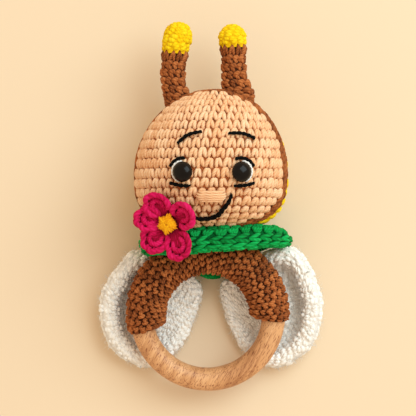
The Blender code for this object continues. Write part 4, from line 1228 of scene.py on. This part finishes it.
def petal_strands(turn, radius, reach, rise, chance):
    """The strands of one petal: a thick braided rim round a cup, and posts that fan out from the heart."""
    axis = math.radians(turn)
    out = np.array((math.cos(axis), math.sin(axis), 0))
    aside = np.array((-math.sin(axis), math.cos(axis), 0))

    def bowl(angle, share):
        spread = out * (np.cos(angle) * share)[..., None] + aside * (np.sin(angle) * share)[..., None]
        flat = out * reach + spread * radius
        lift = PETAL_CUP * (np.linalg.norm(flat, axis=-1) / FLOWER_REACH) ** 2
        lift = lift + rise * share ** 2 * (0.3 + 0.35 * (1 + np.cos(angle)))
        return flat + np.array((0, 0, 1.0)) * lift[..., None]

    def lining(across, along):
        top = bowl(math.tau * across, np.clip(along * 2, 0, 1) * PETAL_LINING)
        under = bowl(math.tau * across, np.clip(2 - along * 2, 0, 1) * PETAL_LINING)
        return np.where((along <= 0.5)[:, None], top, under - np.array((0, 0, PETAL_LINING_DEPTH)))
    strands = []
    step = PETAL_ARC / PETAL_LINKS
    thick = np.array((0.6, 1.15, 1.3, 1.15, 0.55)) * MM
    for k in range(PETAL_LINKS):
        middle = -PETAL_ARC / 2 + step * (k + 0.5) + chance.normal(0, 0.08)
        angles = middle + step * np.array((-0.9, -0.4, 0.1, 0.6, 1.05))
        for shares, rises in (((0.60, 0.79, 0.86, 0.80, 0.62), (-0.5, 0.5, 0.8, 0.5, -0.6)),
                              ((0.60, 0.44, 0.38, 0.45, 0.62), (-0.4, 0.5, 0.75, 0.5, 0.0))):
            path = bowl(angles, np.array(shares)) + np.outer(rises, (0, 0, MM))
            strands.append(toned(strand(path, thick * chance.normal(1, 0.08), 7, 8), chance.uniform(0.1, 1)))
    bend = np.linspace(0, 1, 5)[:, None]
    thick = np.array((0.5, 0.9, 1.0, 0.95, 0.5)) * MM
    for fan in np.radians(np.linspace(-POST_ARC / 2, POST_ARC / 2, PETAL_POSTS)):
        inner_end = out * 2.6 * MM + aside * (1.9 * MM * math.sin(fan))
        outer_end = bowl(np.array([fan]), np.array([POST_REACH]))[0]
        path = inner_end * (1 - bend) + outer_end * bend
        path[:, 2] += np.array((-0.2, 0.1, 0.2, 0.3, 0.0)) * MM
        # The posts take tones below the rim's, deeper than deep: painted shade inside the cup
        strands.append(toned(strand(path, thick, 7, 8), chance.uniform(-0.8, 0.0)))
    return strands, wrapped_grid(32, 12, lining, merge=1e-5)


def flower_web():
    """The round the petals grow from, a thin closed pad under the heart."""
    def place(across, along):
        angle = math.tau * across
        radius = WEB_RADIUS * np.sin(math.pi * np.clip(along, 0, 1)) ** 0.6
        height = 0.5 * MM - 1.1 * MM * along + PETAL_CUP * (radius / FLOWER_REACH) ** 2
        return xyz(radius * np.cos(angle), radius * np.sin(angle), height)
    return wrapped_grid(32, 10, place, merge=1e-5)


def heart_strands(chance):
    """Amber strands that radiate from the flower's middle, a few of them longer."""
    strands = []
    run = np.linspace(0.02, 1, 5)
    height = HEART_HEIGHT[0] + HEART_HEIGHT[1] * np.sqrt(1 - run ** 2)
    thick = np.array((0.4, 0.6, 0.66, 0.6, 0.35)) * MM
    for k in range(HEART_STRANDS):
        angle = math.tau * k / HEART_STRANDS + chance.normal(0, 0.03)
        off = min(abs((angle - math.radians(point) + math.pi) % math.tau - math.pi) for point in HEART_POINTS)
        longer = HEART_REACH[1] * hump(off, 0, math.radians(11))
        reach = (HEART_REACH[0] + longer + chance.normal(0, 0.2)) * MM
        path = xyz(run * reach * math.cos(angle), run * reach * math.sin(angle), height * MM)
        strands.append(toned(strand(path, thick, 6, 7), chance.uniform()))
    return strands


def flower():
    upright = Vector(FLOWER_FACING).to_track_quat("Z", "Y").to_matrix().to_4x4()
    seat = Matrix.Translation(Vector(FLOWER_PLACE)) @ upright
    chance = np.random.default_rng(61)
    strands, linings = [], []
    for turn, radius, reach, rise in PETALS:
        made, lining = petal_strands(turn, radius * MM, reach * MM, rise * MM, chance)
        strands += made
        linings.append(lining)
    petals = joined("petals", strands)
    linings = joined("linings", [*linings, flower_web()])
    heart = with_material(joined("heart", heart_strands(chance)), AMBER)
    for piece in (petals, linings, heart):
        piece.data.transform(seat)
    # The linings and web wear the pink backing colour, deeper than the yarn: painted shade inside the cups
    crocheted("crochet_petals", "flower_petals", "toy", "pink", [petals], linings)
    finish("stitched_heart", [heart], "toy", ["flower_heart"])


flower()


# Pieces inside keep their solids and get their finish

def inner_pieces():
    for name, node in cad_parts.items():
        inside = None
        if "stuffing" in name:
            inside = FIBREFILL
        elif name.startswith(("capsule", "pellet", "eye_washer")):
            inside = PALE_PLASTIC
        if inside:
            for place in node.material_slots:
                place.material = inside


inner_pieces()


# Table, light and camera

def table():
    deselect()
    bpy.ops.mesh.primitive_plane_add(size=6, location=(0, 0, -0.1 * MM))
    floor = bpy.context.object
    floor.name = "paper_table"
    look = Look("peach_paper", 0.9, shine=0.1)
    look.paint(look.ramp(look.noise(3.0, 2.0), (0.3, (0.775, 0.622, 0.452)), (0.7, (0.79, 0.637, 0.467))))
    with_material(floor, look.material)


def light_and_camera():
    scene = bpy.context.scene
    window = bpy.data.lights.new("window", "AREA")
    window.shape = "SQUARE"
    window.size = LAMP_SIZE
    window.energy = LAMP_POWER
    window.color = LAMP_COLOUR
    lamp = bpy.data.objects.new("window", window)
    lamp.location = LAMP_PLACE
    lamp.rotation_euler = (Vector(LAMP_TARGET) - Vector(LAMP_PLACE)).to_track_quat("-Z", "Y").to_euler()
    scene.world = bpy.data.worlds.new("room")
    scene.world.use_nodes = True
    sky = scene.world.node_tree.nodes["Background"]
    sky.inputs["Color"].default_value = SKY_COLOUR
    sky.inputs["Strength"].default_value = SKY_STRENGTH
    lens = bpy.data.cameras.new("camera")
    lens.sensor_width = SENSOR
    lens.lens = SENSOR * FOCUS
    lens.clip_start = 0.01
    camera = bpy.data.objects.new("camera", lens)
    camera.location = CAMERA_PLACE
    for obj in (lamp, camera):
        bpy.context.collection.objects.link(obj)
    scene.camera = camera
    scene.view_settings.view_transform = "Standard"


table()
light_and_camera()
